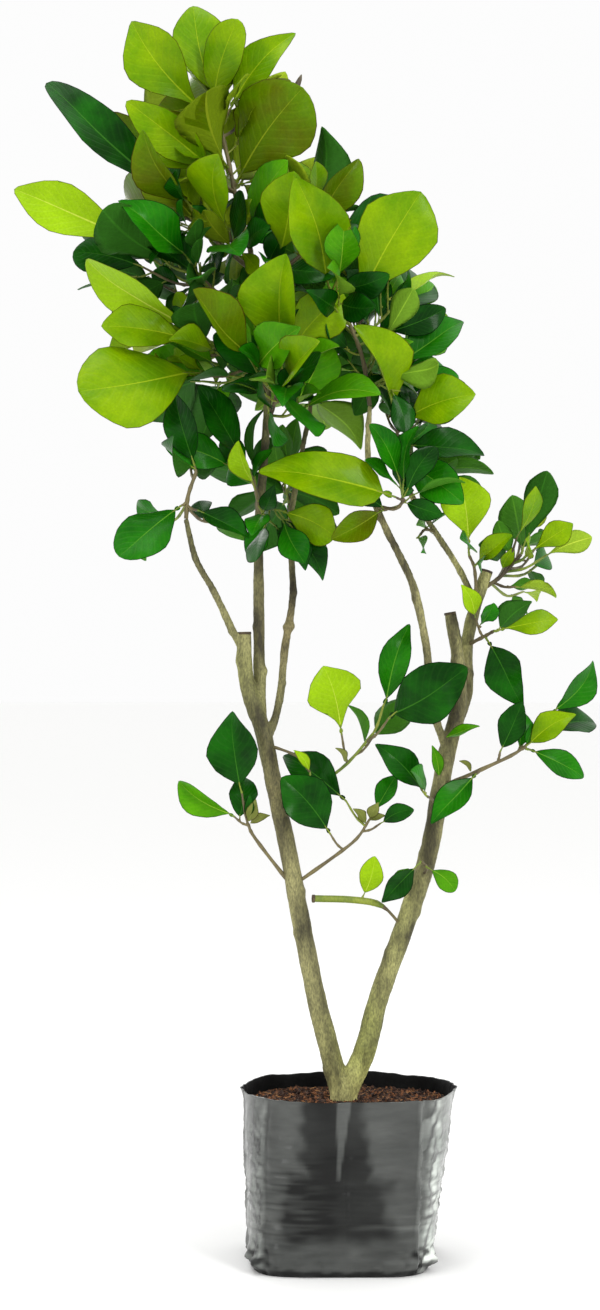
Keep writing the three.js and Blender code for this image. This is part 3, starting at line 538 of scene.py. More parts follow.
def growCrown():
    lines = {name: SmoothLine(path) for name, (_, path) in limbs.items()}
    wood = Wood()
    for name, (steps, _) in limbs.items():
        wood.add(lines[name], steps, name, "limb")
    crown, leaves = [], []
    for name, mass in masses.items():
        points = [lines[mass["limb"]].at(mass["share"]), *mass["stem"]]
        stem = SmoothLine([[*p, mass["radius"] * taper] for p, taper in zip(points, growth["stemTaper"])])
        wood.add(stem, growth["stemBones"], name, "stem")
        crown.append({"name": name, "mass": mass, "stem": stem, "heart": stem.at(growth["heart"]),
                      "shoots": [], "finer": []})
    for m, one in enumerate(crown):
        for s, plan in enumerate(shootPlans(one["mass"])):
            start = chordAt(one["stem"], 2 * len(one["mass"]["stem"]), plan["share"])
            heading = plan["tip"] - start
            reach = np.linalg.norm(heading)
            end = start + heading * (max(reach - plan["length"], growth["leastBare"]) / reach)
            line = shootLine(start, end, one["mass"]["radius"] * growth["shootRadius"])
            if isPathClear(line, one["name"], wood)[1]:
                one["shoots"].append(newShoot(plan, line, s, makeDice(m * 100 + s + 1)))
                wood.add(line, growth["shootSteps"], one["name"], s)
    places = [{"one": one, "shoot": shoot, "wood": wood, "leaves": leaves, "clear": growth["leafClear"],
               "reach": one["mass"]["reach"]} for one in crown for shoot in one["shoots"]]
    for grow in (growLead, growSideLeaves):
        for place in places:
            grow(place)
    asInSource = len(leaves)
    for m, one in enumerate(crown):
        if one["name"] not in bareTwigs:
            growFiner(one, m, wood, leaves)
    print("crown:", asInSource, "leaves by the source's rule and", len(leaves) - asInSource, "finer ones")
    return lines, crown


def fromScreen(red, green, blue):
    share = [value / 255 for value in (red, green, blue)]
    return tuple(s / 12.92 if s <= 0.04045 else ((s + 0.055) / 1.055) ** 2.4 for s in share)


def toScene(name, data):
    thing = bpy.data.objects.new(name, data)
    bpy.context.collection.objects.link(thing)
    return thing


def makePiece(name, points, faces, smooth=True, edges=()):
    mesh = bpy.data.meshes.new(name)
    mesh.from_pydata([tuple(p) for p in points], edges, faces)
    mesh.update()
    mesh.polygons.foreach_set("use_smooth", [smooth] * len(mesh.polygons))
    return toScene(name, mesh)


def turnsOf(count):
    return [2 * math.pi * k / count for k in range(count)]


def keepOn(mesh, label, values):
    mesh.attributes.new(label, "FLOAT", "POINT").data.foreach_set("value", values)


# Puts a plain mesh in the place of an object and its modifiers.
def applied(piece):
    name = piece.name
    mesh = bpy.data.meshes.new_from_object(piece.evaluated_get(bpy.context.evaluated_depsgraph_get()))
    bpy.data.objects.remove(piece)
    mesh.name = name
    return toScene(name, mesh)


def seat(piece, nodes):
    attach(piece, "root")
    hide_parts(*nodes)
    print(f"{piece.name}:", len(piece.data.polygons), "faces")


# Faces between rings of points that follow one another, and of a disc of rings about its middle point.
def ringFaces(first, around, rings, inward=False):
    faces = []
    for r in range(rings - 1):
        low, high = first + r * around, first + (r + 1) * around
        for k in range(around):
            after = (k + 1) % around
            face = (low + k, high + k, high + after, low + after)
            faces.append((face[0], *face[:0:-1]) if inward else face)
    return faces


def discFaces(first, around, rings):
    fan = [(first, first + 1 + k, first + 1 + (k + 1) % around) for k in range(around)]
    return fan + ringFaces(first + 1, around, rings)


def addNode(tree, kind, inputs=None, **settings):
    node = tree.nodes.new(kind)
    for key, value in settings.items():
        setattr(node, key, value)
    for key, value in (inputs or {}).items():
        if isinstance(value, bpy.types.NodeSocket):
            tree.links.new(value, node.inputs[key])
        else:
            node.inputs[key].default_value = value
    return node


def calc(tree, operation, *values):
    return addNode(tree, "ShaderNodeMath", dict(enumerate(values)), operation=operation).outputs[0]


def ranged(tree, value, low, high, toLow=0.0, toHigh=1.0):
    return addNode(tree, "ShaderNodeMapRange", {
        "Value": value, "From Min": low, "From Max": high, "To Min": toLow, "To Max": toHigh,
    }).outputs["Result"]


def scaled(tree, colour, amount):
    return addNode(
        tree, "ShaderNodeVectorMath", {0: colour, "Scale": amount}, operation="SCALE").outputs[0]


def blended(tree, share, low, high, **settings):
    inputs = {"Factor": share, "A": low, "B": high}
    return addNode(tree, "ShaderNodeMix", inputs, data_type="RGBA", **settings).outputs["Result"]


# A node group whose inputs are named by their kind or start value: itself, its inputs and its outputs.
def makeGroup(name, kind, takes, gives):
    group = bpy.data.node_groups.new(name, kind)
    kinds = {tuple: "Vector", int: "Int", float: "Float"}

    def addSocket(label, side, kind):
        return group.interface.new_socket(label, in_out=side, socket_type="NodeSocket" + kind)

    for label, value in takes.items():
        if isinstance(value, str):
            addSocket(label, "INPUT", value)
        else:
            addSocket(label, "INPUT", kinds[type(value)]).default_value = value
    for label, kind in gives.items():
        addSocket(label, "OUTPUT", kind)
    return group, group.nodes.new("NodeGroupInput").outputs, group.nodes.new("NodeGroupOutput").inputs


# A colour that drifts between two by a noise over the object, with finer specks, and a height.
def makeMottle():
    group, taken, given = makeGroup("mottle", "ShaderNodeTree", {
        "Low": "Color", "High": "Color", "Scale": 60.0, "Specks": 700.0, "Stretch": (1.0, 1.0, 1.0),
        "Speckled": 0.3}, {"Color": "Color", "Height": "Float"})
    place = addNode(group, "ShaderNodeTexCoord").outputs["Object"]
    drawn = addNode(group, "ShaderNodeVectorMath", {0: place, 1: taken["Stretch"]}, operation="MULTIPLY")
    broad, fine = (addNode(group, "ShaderNodeTexNoise", {
        "Vector": drawn.outputs[0], "Scale": taken[size], "Detail": detail, "Roughness": rough,
    }).outputs["Fac"] for size, detail, rough in (("Scale", 3.0, 0.55), ("Specks", 2.0, 0.6)))
    mixed = blended(group, ranged(group, broad, 0.36, 0.64), taken["Low"], taken["High"])
    amount = calc(group, "MULTIPLY_ADD", ranged(group, fine, 0.3, 0.7, -0.5, 0.5), taken["Speckled"], 1.0)
    group.links.new(scaled(group, mixed, amount), given["Color"])
    group.links.new(calc(group, "ADD", broad, fine), given["Height"])
    return group


# Side veins that run forward from the midrib, and a share that falls away from the leaf's base for painted
# shade there, from a leaf's own map: x across, y along.
def makeVeins():
    group, taken, given = makeGroup("leafVeins", "ShaderNodeTree", {"Count": 11.0, "Forward": 0.55},
                                    {"Height": "Float", "Rib": "Float", "Base": "Float"})
    chart = addNode(group, "ShaderNodeUVMap", uv_map="leafMap").outputs["UV"]
    parts = addNode(group, "ShaderNodeSeparateXYZ", {0: chart}).outputs
    away = calc(group, "ABSOLUTE", calc(group, "SUBTRACT", parts["X"], 0.5))
    along = calc(group, "SUBTRACT", parts["Y"], calc(group, "MULTIPLY", away, taken["Forward"]))
    angle = calc(group, "MULTIPLY", calc(group, "MULTIPLY", along, taken["Count"]), 2 * math.pi)
    half = calc(group, "MULTIPLY_ADD", calc(group, "COSINE", angle), 0.5, 0.5)
    group.links.new(calc(group, "POWER", half, 6.0), given["Height"])
    group.links.new(ranged(group, away, 0.012, 0.03, 1.0, 0.0), given["Rib"])
    group.links.new(ranged(group, parts["Y"], 0.1, 0.6, 1.0, 0.0), given["Base"])
    return group


mottle, veins = makeMottle(), makeVeins()


def makeMaterial(name, roughness, **fixed):
    material = bpy.data.materials.new(name)
    material.use_nodes = True
    tree = material.node_tree
    shader = tree.nodes["Principled BSDF"].inputs
    shader["Roughness"].default_value = roughness
    for key, value in fixed.items():
        shader[key.replace("_", " ")].default_value = value
    return material, tree, shader


# A mottled material, from two colours, its bump and the mottle's scale, specks, their strength and stretch:
# itself, its tree, its shader's inputs, and the colour and normal it has so far.
def makePaint(name, roughness, low, high, bump, distance, mottled, **fixed):
    material, tree, shader = makeMaterial(name, roughness, **fixed)
    fleck = addNode(tree, "ShaderNodeGroup", node_tree=mottle)
    values = ((*low, 1), (*high, 1), *mottled)
    for key, value in zip(("Low", "High", "Scale", "Specks", "Speckled", "Stretch"), values):
        fleck.inputs[key].default_value = value
    relief = addNode(tree, "ShaderNodeBump", {
        "Strength": bump, "Distance": distance, "Height": fleck.outputs["Height"]}).outputs["Normal"]
    tree.links.new(fleck.outputs["Color"], shader["Base Color"])
    tree.links.new(relief, shader["Normal"])
    return material, tree, shader, fleck.outputs["Color"], relief


# Leaves: a thin closed blade near the rule's own surface, with a fine midrib and a darker margin.
blade = {
    "rows": [0.1, 0.16, 0.25, 0.35, 0.45, 0.55, 0.65, 0.745, 0.83, 0.9, 0.95, 0.983],
    "wingRows": [0.03, 0.055, 0.08], "wing": 0.022, "wingedFrom": 58,
    "across": [0.34, 0.68], "below": [-1, -0.68, -0.34, 0, 0.34, 0.68, 1],
    "thickness": 0.6, "rib": 1.1, "ribHalf": 0.0085, "margin": 0.8, "ragged": 0.05,
    "wave": 0.056, "sway": 0.07, "twist": 0.36, "stalkRadius": 0.95,
    "roll": 80, "oddRoll": 60, "leadTwist": 0.5, "leadSwing": 0.6,
}
tones = {  # upper face, its second colour, underside, midrib, margin, roughness, coat and usual forms
    "lime": ((126, 160, 0), (92, 136, 0), (142, 168, 30), (156, 182, 28), (84, 96, 4), 0.4, 0.07,
             "wedge folded round spoon oval wedge"),
    # The brownish lime tone is partly the bronze blush that some leaves have, partly painted shade for lime
    # leaves deep in the crown.
    "bronze": ((86, 122, 0), (84, 98, 0), (116, 140, 18), (138, 154, 30), (74, 64, 6), 0.42, 0.05,
               "folded wedge point"),
    "fresh": ((82, 152, 2), (58, 128, 4), (112, 154, 40), (142, 184, 52), (54, 94, 8), 0.4, 0.06,
              "wedge spoon point folded"),
    "green": ((32, 118, 4), (12, 86, 2), (66, 124, 30), (88, 148, 38), (8, 54, 6), 0.37, 0.07,
              "oval point oval wedge"),
    "dark": ((18, 86, 4), (4, 48, 2), (44, 96, 24), (52, 110, 28), (2, 32, 3), 0.35, 0.08,
             "oval point oval round"),
    "pale": ((150, 190, 14), (136, 176, 8), (150, 182, 46), (190, 210, 70), (112, 128, 24), 0.42, 0.05,
             "folded point wedge"),
    "olive": ((130, 136, 70), (104, 112, 50), (122, 126, 74), (140, 146, 88), (84, 80, 42), 0.6, 0.0,
              "point"),
}
forms = {  # how far out the widest place lies, fullness, fold, cup, curl of the tip
    "oval": (-0.02, 0.06, 0.3, 0.1, 0.04),
    "round": (0.3, -0.08, 0.22, 0.22, -0.02),
    "point": (-0.14, 0.34, 0.42, 0.0, 0.1),
    "wedge": (0.48, 0.12, 0.34, 0.12, 0.03),
    "strap": (-0.05, -0.02, 0.36, 0.05, 0.06),
    "folded": (0.1, 0.04, 0.75, 0.0, 0.05),
    "ovate": (-0.4, 0.1, 0.26, 0.12, 0.05),
    "spoon": (0.3, 0.34, 0.4, 0.0, 0.08),
    "fan": (0.36, 0.42, 0.12, 0.12, 0.04),
}


def leafFormFor(leaf, kind, roll, deal):
    shift, fullness, fold, cup, curl = forms[kind]
    return {
        "shift": shift + 0.1 * (deal() - 0.5), "fullness": fullness,
        "fold": fold * (0.75 + 0.5 * deal()), "cup": cup, "curl": curl * (0.6 + 0.8 * deal()),
        "narrow": 1.06 - 0.24 * fold,
        "roll": math.radians(roll),
        "twist": blade["twist"] * (deal() - 0.5) * 2,
        "sway": blade["sway"] * (deal() - 0.5) * 2,
        "phase": deal() * 2 * math.pi,
        "turns": 1.0 + 1.6 * deal(),
        "swing": leaf["width"] * blade["wave"] * (0.4 + 1.2 * deal()),
    }


def everyLeaf(crown):
    for m, one in enumerate(crown):
        others, deal = one["mass"]["others"].split(), makeDice(seeds["leaves"] + m)
        for shoot in [*one["shoots"], *one["finer"]]:
            for leaf in [shoot["lead"], *shoot["leaves"]]:
                isLead = leaf is shoot["lead"]
                tone = pick(others, deal)
                kind, roll = pick(tones[tone][-1].split(), deal), blade["roll"] * (deal() - 0.5)
                if isLead and shoot["plan"]["look"]:
                    tone, *shown = shoot["plan"]["look"]
                    kind, roll = shown or (kind, roll)
                if leaf:
                    form = leafFormFor(leaf, kind, roll, deal)
                    if isLead:
                        form["twist"] *= blade["leadTwist"]
                        form["swing"] *= blade["leadSwing"]
                    yield leaf, tone, form, deal


# Points of the blade, rolled, swayed and folded from the rule's plain form.
def formed(leaf, form, u, v, half):
    t = bladeShare(u)
    turn = form["roll"] * np.minimum(1, u * 4) + form["twist"] * t
    cosine, sine = np.cos(turn)[..., None], np.sin(turn)[..., None]
    side = leaf["side"] * cosine + leaf["normal"] * sine
    normal = leaf["normal"] * cosine - leaf["side"] * sine
    curl = leaf["length"] * form["curl"] * np.clip((t - 0.62) / 0.38, 0, 1) ** 2
    sway = leaf["length"] * form["sway"] * np.sin(np.pi * t)
    wave = np.sin(form["phase"] + form["turns"] * 2 * np.pi * u + np.sign(v) * 1.3)
    wave = wave * np.abs(v) ** 1.6 * form["swing"] * np.sqrt(np.sin(np.pi * t))
    gutter = (form["fold"] * np.abs(v) - form["cup"] * v * v) * half
    return (leaf["root"] + leaf["axis"] * (leaf["length"] * u)[..., None] + leaf["side"] * sway[..., None]
            + leaf["normal"] * riseAt(leaf, u)[..., None] + side * (v * half * form["narrow"])[..., None]
            + normal * (gutter + wave - curl)[..., None])


def leafMesh(leaf, form, deal):
    wings = blade["wingRows"] if leaf["length"] > blade["wingedFrom"] else []
    rows = np.array([*wings, *blade["rows"]])
    t = bladeShare(rows)
    swell = swellAt(t, form["shift"], form["fullness"])
    wing = np.sin(np.pi * np.clip((rows - 0.01) / 0.092, 0, 1)) * blade["wing"] * leaf["length"]
    ragged = 1 + blade["ragged"] * (np.array([deal() for _ in rows]) - 0.5)
    half = leaf["length"] * leafForm["stalkHalf"] * (0.6 + 0.4 * t) + leaf["width"] / 2 * swell + wing
    half = half * ragged
    rib = leaf["length"] * blade["ribHalf"] * (1.05 - rows) / half
    edge = 1 - np.minimum(blade["margin"] / half, 0.2)
    near, far = blade["across"]
    right = [np.ones_like(rows) * place for place in (1, edge, far, near, rib)]
    above = np.stack([*(-place for place in right), *reversed(right)], 1)
    below = np.repeat(np.array(blade["below"])[None], len(rows), 0)
    chart = []

    def sheet(across):
        along, wide = (np.repeat(column[:, None], across.shape[1], 1) for column in (rows, half))
        chart.append(np.stack([0.5 + across.ravel() / 2, along.ravel()], 1))
        return formed(leaf, form, along, across, wide)

    top, low = sheet(above), sheet(below)
    depth = np.where(np.abs(below) < 0.1, blade["rib"], blade["thickness"])
    low = low - leaf["normal"] * (depth * np.minimum(1, 0.5 + t[:, None] * 6))[..., None]
    tip = formed(leaf, form, np.array([1.0]), np.array([0.0]), np.array([0.0]))
    count, wide, narrow = len(rows), above.shape[1], below.shape[1]
    points = np.concatenate([top.reshape(-1, 3), low.reshape(-1, 3), tip])
    chart = np.concatenate([*chart, np.array([[0.5, 1.0]])])
    tipAt = len(points) - 1

    def lowAt(i, j):
        if j in (0, narrow - 1):
            return i * wide + (wide - 1 if j else 0)
        return count * wide + i * narrow + j

    faces, slots = [], []
    for j in range(wide - 1):
        slot = 3 if j in (0, wide - 2) else 1 if j == wide // 2 - 1 else 0
        corners = [i * wide + j for i in range(count)]
        faces += [(a, a + 1, b + 1, b) for a, b in zip(corners, corners[1:])]
        faces.append((corners[-1], corners[-1] + 1, tipAt))
        slots += [slot] * count
    for j in range(narrow - 1):
        for i in range(count - 1):
            faces.append((lowAt(i, j), lowAt(i + 1, j), lowAt(i + 1, j + 1), lowAt(i, j + 1)))
        faces.append((lowAt(count - 1, j), tipAt, lowAt(count - 1, j + 1)))
        slots += [2] * count
    faces.append(tuple(reversed([*range(wide), *(lowAt(0, j) for j in range(narrow - 2, 0, -1))])))
    return points, faces, [*slots, 2], chart


def leafMaterials(tone):
    upper, second, under, rib, margin, rough, coat, _ = tones[tone]
    ribColour, made = fromScreen(*rib), []
    for part, low, high, roughness in (
            ("upper", second, upper, rough), ("rib", rib, rib, rough + 0.1),
            ("under", under, under, 0.6), ("margin", margin, margin, rough + 0.1)):
        fixed = {"Specular_IOR_Level": 0.3, "Specular_Tint": (*(0.12 + 0.7 * c for c in ribColour), 1)}
        if part == "upper":
            fixed.update(Coat_Weight=coat, Coat_Roughness=0.16, Coat_Tint=(0.8, 1.0, 0.6, 1))
        shade = 1 if part == "upper" else 0.85
        material, tree, shader, colour, normal = makePaint(
            f"{tone}-{part}", roughness, [c * shade for c in fromScreen(*low)], fromScreen(*high),
            0.25, 0.0003, (24.0, 420.0, 0.2), **fixed)
        if part in ("upper", "under"):
            lines = addNode(tree, "ShaderNodeGroup", node_tree=veins).outputs
            faint = calc(tree, "MULTIPLY", lines["Height"], 0.07)
            if part == "under":
                faint = calc(tree, "MAXIMUM", faint, lines["Rib"])
            # Painted shade: the blade darkens toward its base.
            baseShade = (*(c * 0.6 for c in fromScreen(*low)), 1)
            colour = blended(tree, calc(tree, "MULTIPLY", lines["Base"], 0.42), colour, baseShade)
            tree.links.new(blended(tree, faint, colour, (*ribColour, 1)), shader["Base Color"])
            ridged = addNode(tree, "ShaderNodeBump", {
                "Strength": 0.26, "Distance": 0.0006, "Height": lines["Height"], "Normal": normal,
            }, invert=True)
            tree.links.new(ridged.outputs["Normal"], shader["Normal"])
        made.append(material)
    return made


# Stunted leaves and dry bracts at the twigs' nodes: root, tip, breadth and tone.
oddLeaves = [
    ((-92, -20, 437), (-84, -27, 460), 0.5, "olive"), ((-93, -20, 440), (-90, -24, 466), 0.4, "dark"),
    ((-91, -20, 436), (-72, -30, 446), 0.42, "olive"), ((28, -27, 441), (36, -33, 458), 0.6, "olive"),
    ((26, -26, 436), (14, -33, 452), 0.5, "olive"), ((28, -26, 440), (44, -30, 446), 0.44, "olive"),
    ((-30, -27, 488), (-44, -34, 510), 0.4, "pale"), ((164, 34, 690), (176, 22, 712), 0.5, "lime"),
    ((100, 3, 480), (92, -10, 512), 0.34, "fresh"), ((103, -2, 520), (136, -16, 536), 0.36, "fresh"),
    ((184, -21, 514), (190, -30, 536), 0.42, "green"), ((54, -14, 377), (66, -26, 392), 0.5, "fresh"),
    ((131, -15, 487), (120, -24, 500), 0.5, "olive"), ((8, 2, 496), (-2, -12, 512), 0.5, "olive"),
]


def makeLeaves(crown):
    everyOne = list(everyLeaf(crown))
    deal = makeDice(seeds["oddLeaves"])
    for root, tip, breadth, tone in oddLeaves:
        root, heading = np.array(root, float), np.array(tip, float) - root
        face = np.array([deal() - 0.5, -1.0, 0.4])
        leaf = makeLeaf(root, heading, face, float(np.linalg.norm(heading)), breadth, deal)
        form = leafFormFor(leaf, "point", blade["oddRoll"] * (deal() - 0.5), deal)
        everyOne.append((leaf, tone, form, deal))
    heaps = {tone: {"points": [], "faces": [], "slots": [], "chart": [], "count": 0} for tone in tones}
    for leaf, tone, form, deal in everyOne:
        points, faces, slots, chart = leafMesh(leaf, form, deal)
        heap = heaps[tone]
        heap["points"].append(points * mm)
        heap["chart"].append(chart)
        heap["faces"] += [tuple(corner + heap["count"] for corner in face) for face in faces]
        heap["slots"] += slots
        heap["count"] += len(points)
    for tone, heap in heaps.items():
        piece = makePiece(f"{tone}Leaves", np.concatenate(heap["points"]), heap["faces"])
        mesh = piece.data
        for material in leafMaterials(tone):
            mesh.materials.append(material)
        mesh.polygons.foreach_set("material_index", heap["slots"])
        corners = np.empty(len(mesh.loops), int)
        mesh.loops.foreach_get("vertex_index", corners)
        chart = np.concatenate(heap["chart"])[corners]
        mesh.uv_layers.new(name="leafMap").data.foreach_set("uv", chart.ravel())
        seat(piece, masses)


# Twigs: wires with a girth at each point, made round by one geometry tree.
twigs = {
    "sides": 7, "budRadius": 1.35, "greenRadius": 1.3, "greenStems": ["arched_low_twig", "inner_green_twig"],
}
# A dormant bud on a thin stalk at the crown's top: x, y, z and radius.
topBud = [
    (-72, -24, 1126, 1.0), (-52, -24, 1152, 1.0), (-47, -24, 1160, 2.2), (-43, -24, 1168, 3.4),
    (-40, -24, 1175, 2.2), (-38.5, -24, 1179, 0.5),
]


# Ends a geometry tree: its instances are made real and given the group's material.
def endTree(tree, geometry, taken, given):
    whole = addNode(tree, "GeometryNodeRealizeInstances", {"Geometry": geometry})
    painted = addNode(tree, "GeometryNodeSetMaterial", {
        "Geometry": whole.outputs["Geometry"], "Material": taken["Material"]})
    tree.links.new(painted.outputs["Geometry"], given["Geometry"])
    return tree


def makeTubes():
    tree, taken, given = makeGroup(
        "roundWires", "GeometryNodeTree", {"Geometry": "Geometry", "Sides": 7, "Material": "Material"},
        {"Geometry": "Geometry"})
    girth = addNode(tree, "GeometryNodeInputNamedAttribute", {"Name": "girth"}, data_type="FLOAT")
    wires = addNode(tree, "GeometryNodeMeshToCurve", {"Mesh": taken["Geometry"]})
    ring = addNode(tree, "GeometryNodeCurvePrimitiveCircle", {"Resolution": taken["Sides"], "Radius": 1.0})
    tubes = addNode(tree, "GeometryNodeCurveToMesh", {
        "Curve": wires.outputs["Curve"], "Profile Curve": ring.outputs["Curve"],
        "Scale": girth.outputs["Attribute"], "Fill Caps": True})
    smooth = addNode(tree, "GeometryNodeSetShadeSmooth", {
        "Geometry": tubes.outputs["Mesh"], "Shade Smooth": True})
    return endTree(tree, smooth.outputs["Geometry"], taken, given)


def useTree(piece, tree, **values):
    modifier = piece.modifiers.new("made", "NODES")
    modifier.node_group = tree
    for item in tree.interface.items_tree:
        if item.in_out == "INPUT" and item.name in values:
            modifier[item.identifier] = values[item.name]
    return applied(piece)


def tubesFrom(name, tree, wires, material, sides):
    rows = np.array([row for line in wires for row in line], float) * mm
    starts = set(np.cumsum([len(line) for line in wires]))
    edges = [(k - 1, k) for k in range(1, len(rows)) if k not in starts]
    piece = makePiece(name, rows[:, :3], [], edges=edges)
    keepOn(piece.data, "girth", rows[:, 3])
    return useTree(piece, tree, Sides=sides, Material=material)


def wireOf(line, steps, knots=()):
    rows = []
    for k in range(steps + 1):
        t = k / steps
        rows.append([*line.at(t), line.radiusAt(t) * (1.22 if k in knots else 1)])
    return rows


def stalkWire(leaf):
    width = min(blade["stalkRadius"], 0.011 * leaf["length"] + 0.25)
    points = bladePoints(leaf, np.array([0.0, 0.05, 0.1, 0.15]), np.zeros(4), np.zeros(4))
    return [[*p, girth] for p, girth in zip(points, [width * 1.25, width * 0.9, width * 0.85, width * 0.55])]


def budWire(leaf, size):
    at, toward = leaf["root"], unit(leaf["axis"] + leaf["normal"] * 0.8)
    return [[*(at + toward * size * along), size * girth]
            for along, girth in ((0, 0.5), (0.8, 1), (1.8, 0.8), (2.8, 0.15))]


def makeTwigs(crown, tree):
    brown, green = [topBud], []
    for m, one in enumerate(crown):
        deal = makeDice(seeds["twigs"] + m)
        stem = wireOf(one["stem"], 12, knots=(2, 5, 8, 11))
        if one["name"] == "arched_low_twig":  # thin and brown at first, stout beyond the bend
            stem = [[*row[:3], 1.5 + 2.0 * min(1, max(0, (k - 3) / 2))] for k, row in enumerate(stem)]
            brown.append(stem[:5])
            stem = stem[4:]
        (green if one["name"] in twigs["greenStems"] else brown).append(stem)
        for shoot in [*one["shoots"], *one["finer"]]:
            isThin = shoot["line"].radii[0] < twigs["greenRadius"]
            heap = green if isThin or deal() < 0.6 else brown
            heap.append(wireOf(shoot["line"], 8, knots=(3, 6)))
            for leaf in [shoot["lead"], *shoot["leaves"]]:
                if leaf:
                    green.append(stalkWire(leaf))
                    if leaf is not shoot["lead"]:
                        heap.append(budWire(leaf, twigs["budRadius"] * (0.7 + 0.5 * deal())))
    for name, heap, low, high in (
            ("woodyTwigs", brown, (72, 62, 42), (116, 106, 66)),
            ("greenTwigs", green, (86, 110, 22), (134, 146, 44))):
        material, *_ = makePaint(name, 0.55, fromScreen(*low), fromScreen(*high), 0.4, 0.0004,
                                 (45.0, 600.0, 0.4, (1, 1, 0.35)))
        seat(tubesFrom(name, tree, heap, material, twigs["sides"]), masses)


# Trunk, stems and branches: one skin round the source's lines, with knobs and fissured bark.
barkSkin = {
    "steps": 40, "footSteps": 16, "sides": 20, "voxel": 1.35, "smoothing": 4, "fissure": 0.34,
    "lumps": 0.7, "knobEvery": 34, "knobHeight": 1.5, "rootFlare": 1.6, "soilLevel": 158,
}
trunkFoot = [(3, 0, 138, 13.6), (3, 0, 152, 13.4), (3, 0, 164, 13), (3, 0, 174, 12), (3, 0, 182, 9.5)]
# The two stems part a little lower down than in the source, as the photo shows.
arms = {
    "left_stem": [(0, 0, 168, 10.8), (-10, 0, 207, 10.4)],
    "right_stem": [(6, 0, 168, 11.4), (24.5, 1, 207, 11.2)],
}
namedKnobs = [  # x, y, z, height and width of the ones that show
    (-50, 16, 633, 3.4, 6), (-74, -2, 588, 3.0, 6), (-81, -4, 735, 1.6, 5), (22, -8, 214, 2.4, 8),
    (-100, -14, 598, 2.6, 7), (128, 26, 640, 2.2, 6), (106, 2, 500, 2.2, 8), (-84, -14, 560, 2.0, 7),
]
# Hue of the bark, 0 grey-brown, 0.5 olive tan and 1 green, in patches: x, z, spread up, and hue.
huePatches = [
    (25, 225, 55, 0.86), (60, 330, 60, 0.66), (-60, 470, 70, 0.34), (-90, 590, 50, 0.78),
    (-50, 640, 70, 0.12), (115, 600, 60, 0.3), (135, 640, 60, 0.66), (-80, 760, 140, 0.42),
    (40, 740, 90, 0.4), (-75, 960, 120, 0.8),
]


def readFrom(tree, label):
    return addNode(tree, "ShaderNodeAttribute", attribute_name=label).outputs["Fac"]


def barkMaterial():
    material, tree, shader, colour, _ = makePaint(
        "bark", 0.72, fromScreen(70, 62, 40), fromScreen(172, 160, 118), 0.8, 0.0007,
        (40.0, 720.0, 0.9, (1, 1, 0.36)))
    hue, worn = (readFrom(tree, label) for label in ("hue", "worn"))
    tints = addNode(tree, "ShaderNodeValToRGB", {"Fac": hue})
    ramp = tints.color_ramp.elements
    ramp.new(0.5)
    for stop, tint in zip(ramp, ((112, 92, 72), (166, 178, 148), (172, 204, 96))):
        stop.color = (*fromScreen(*tint), 1)
    tinted = blended(tree, 0.8, colour, tints.outputs["Color"], blend_type="MULTIPLY")
    # the bark colour is scaled by the painted brightness, painted light at the foot
    tree.links.new(scaled(tree, tinted, worn), shader["Base Color"])
    return material


def drift(x, y, z):
    return noise.noise(Vector((x, y, z)))


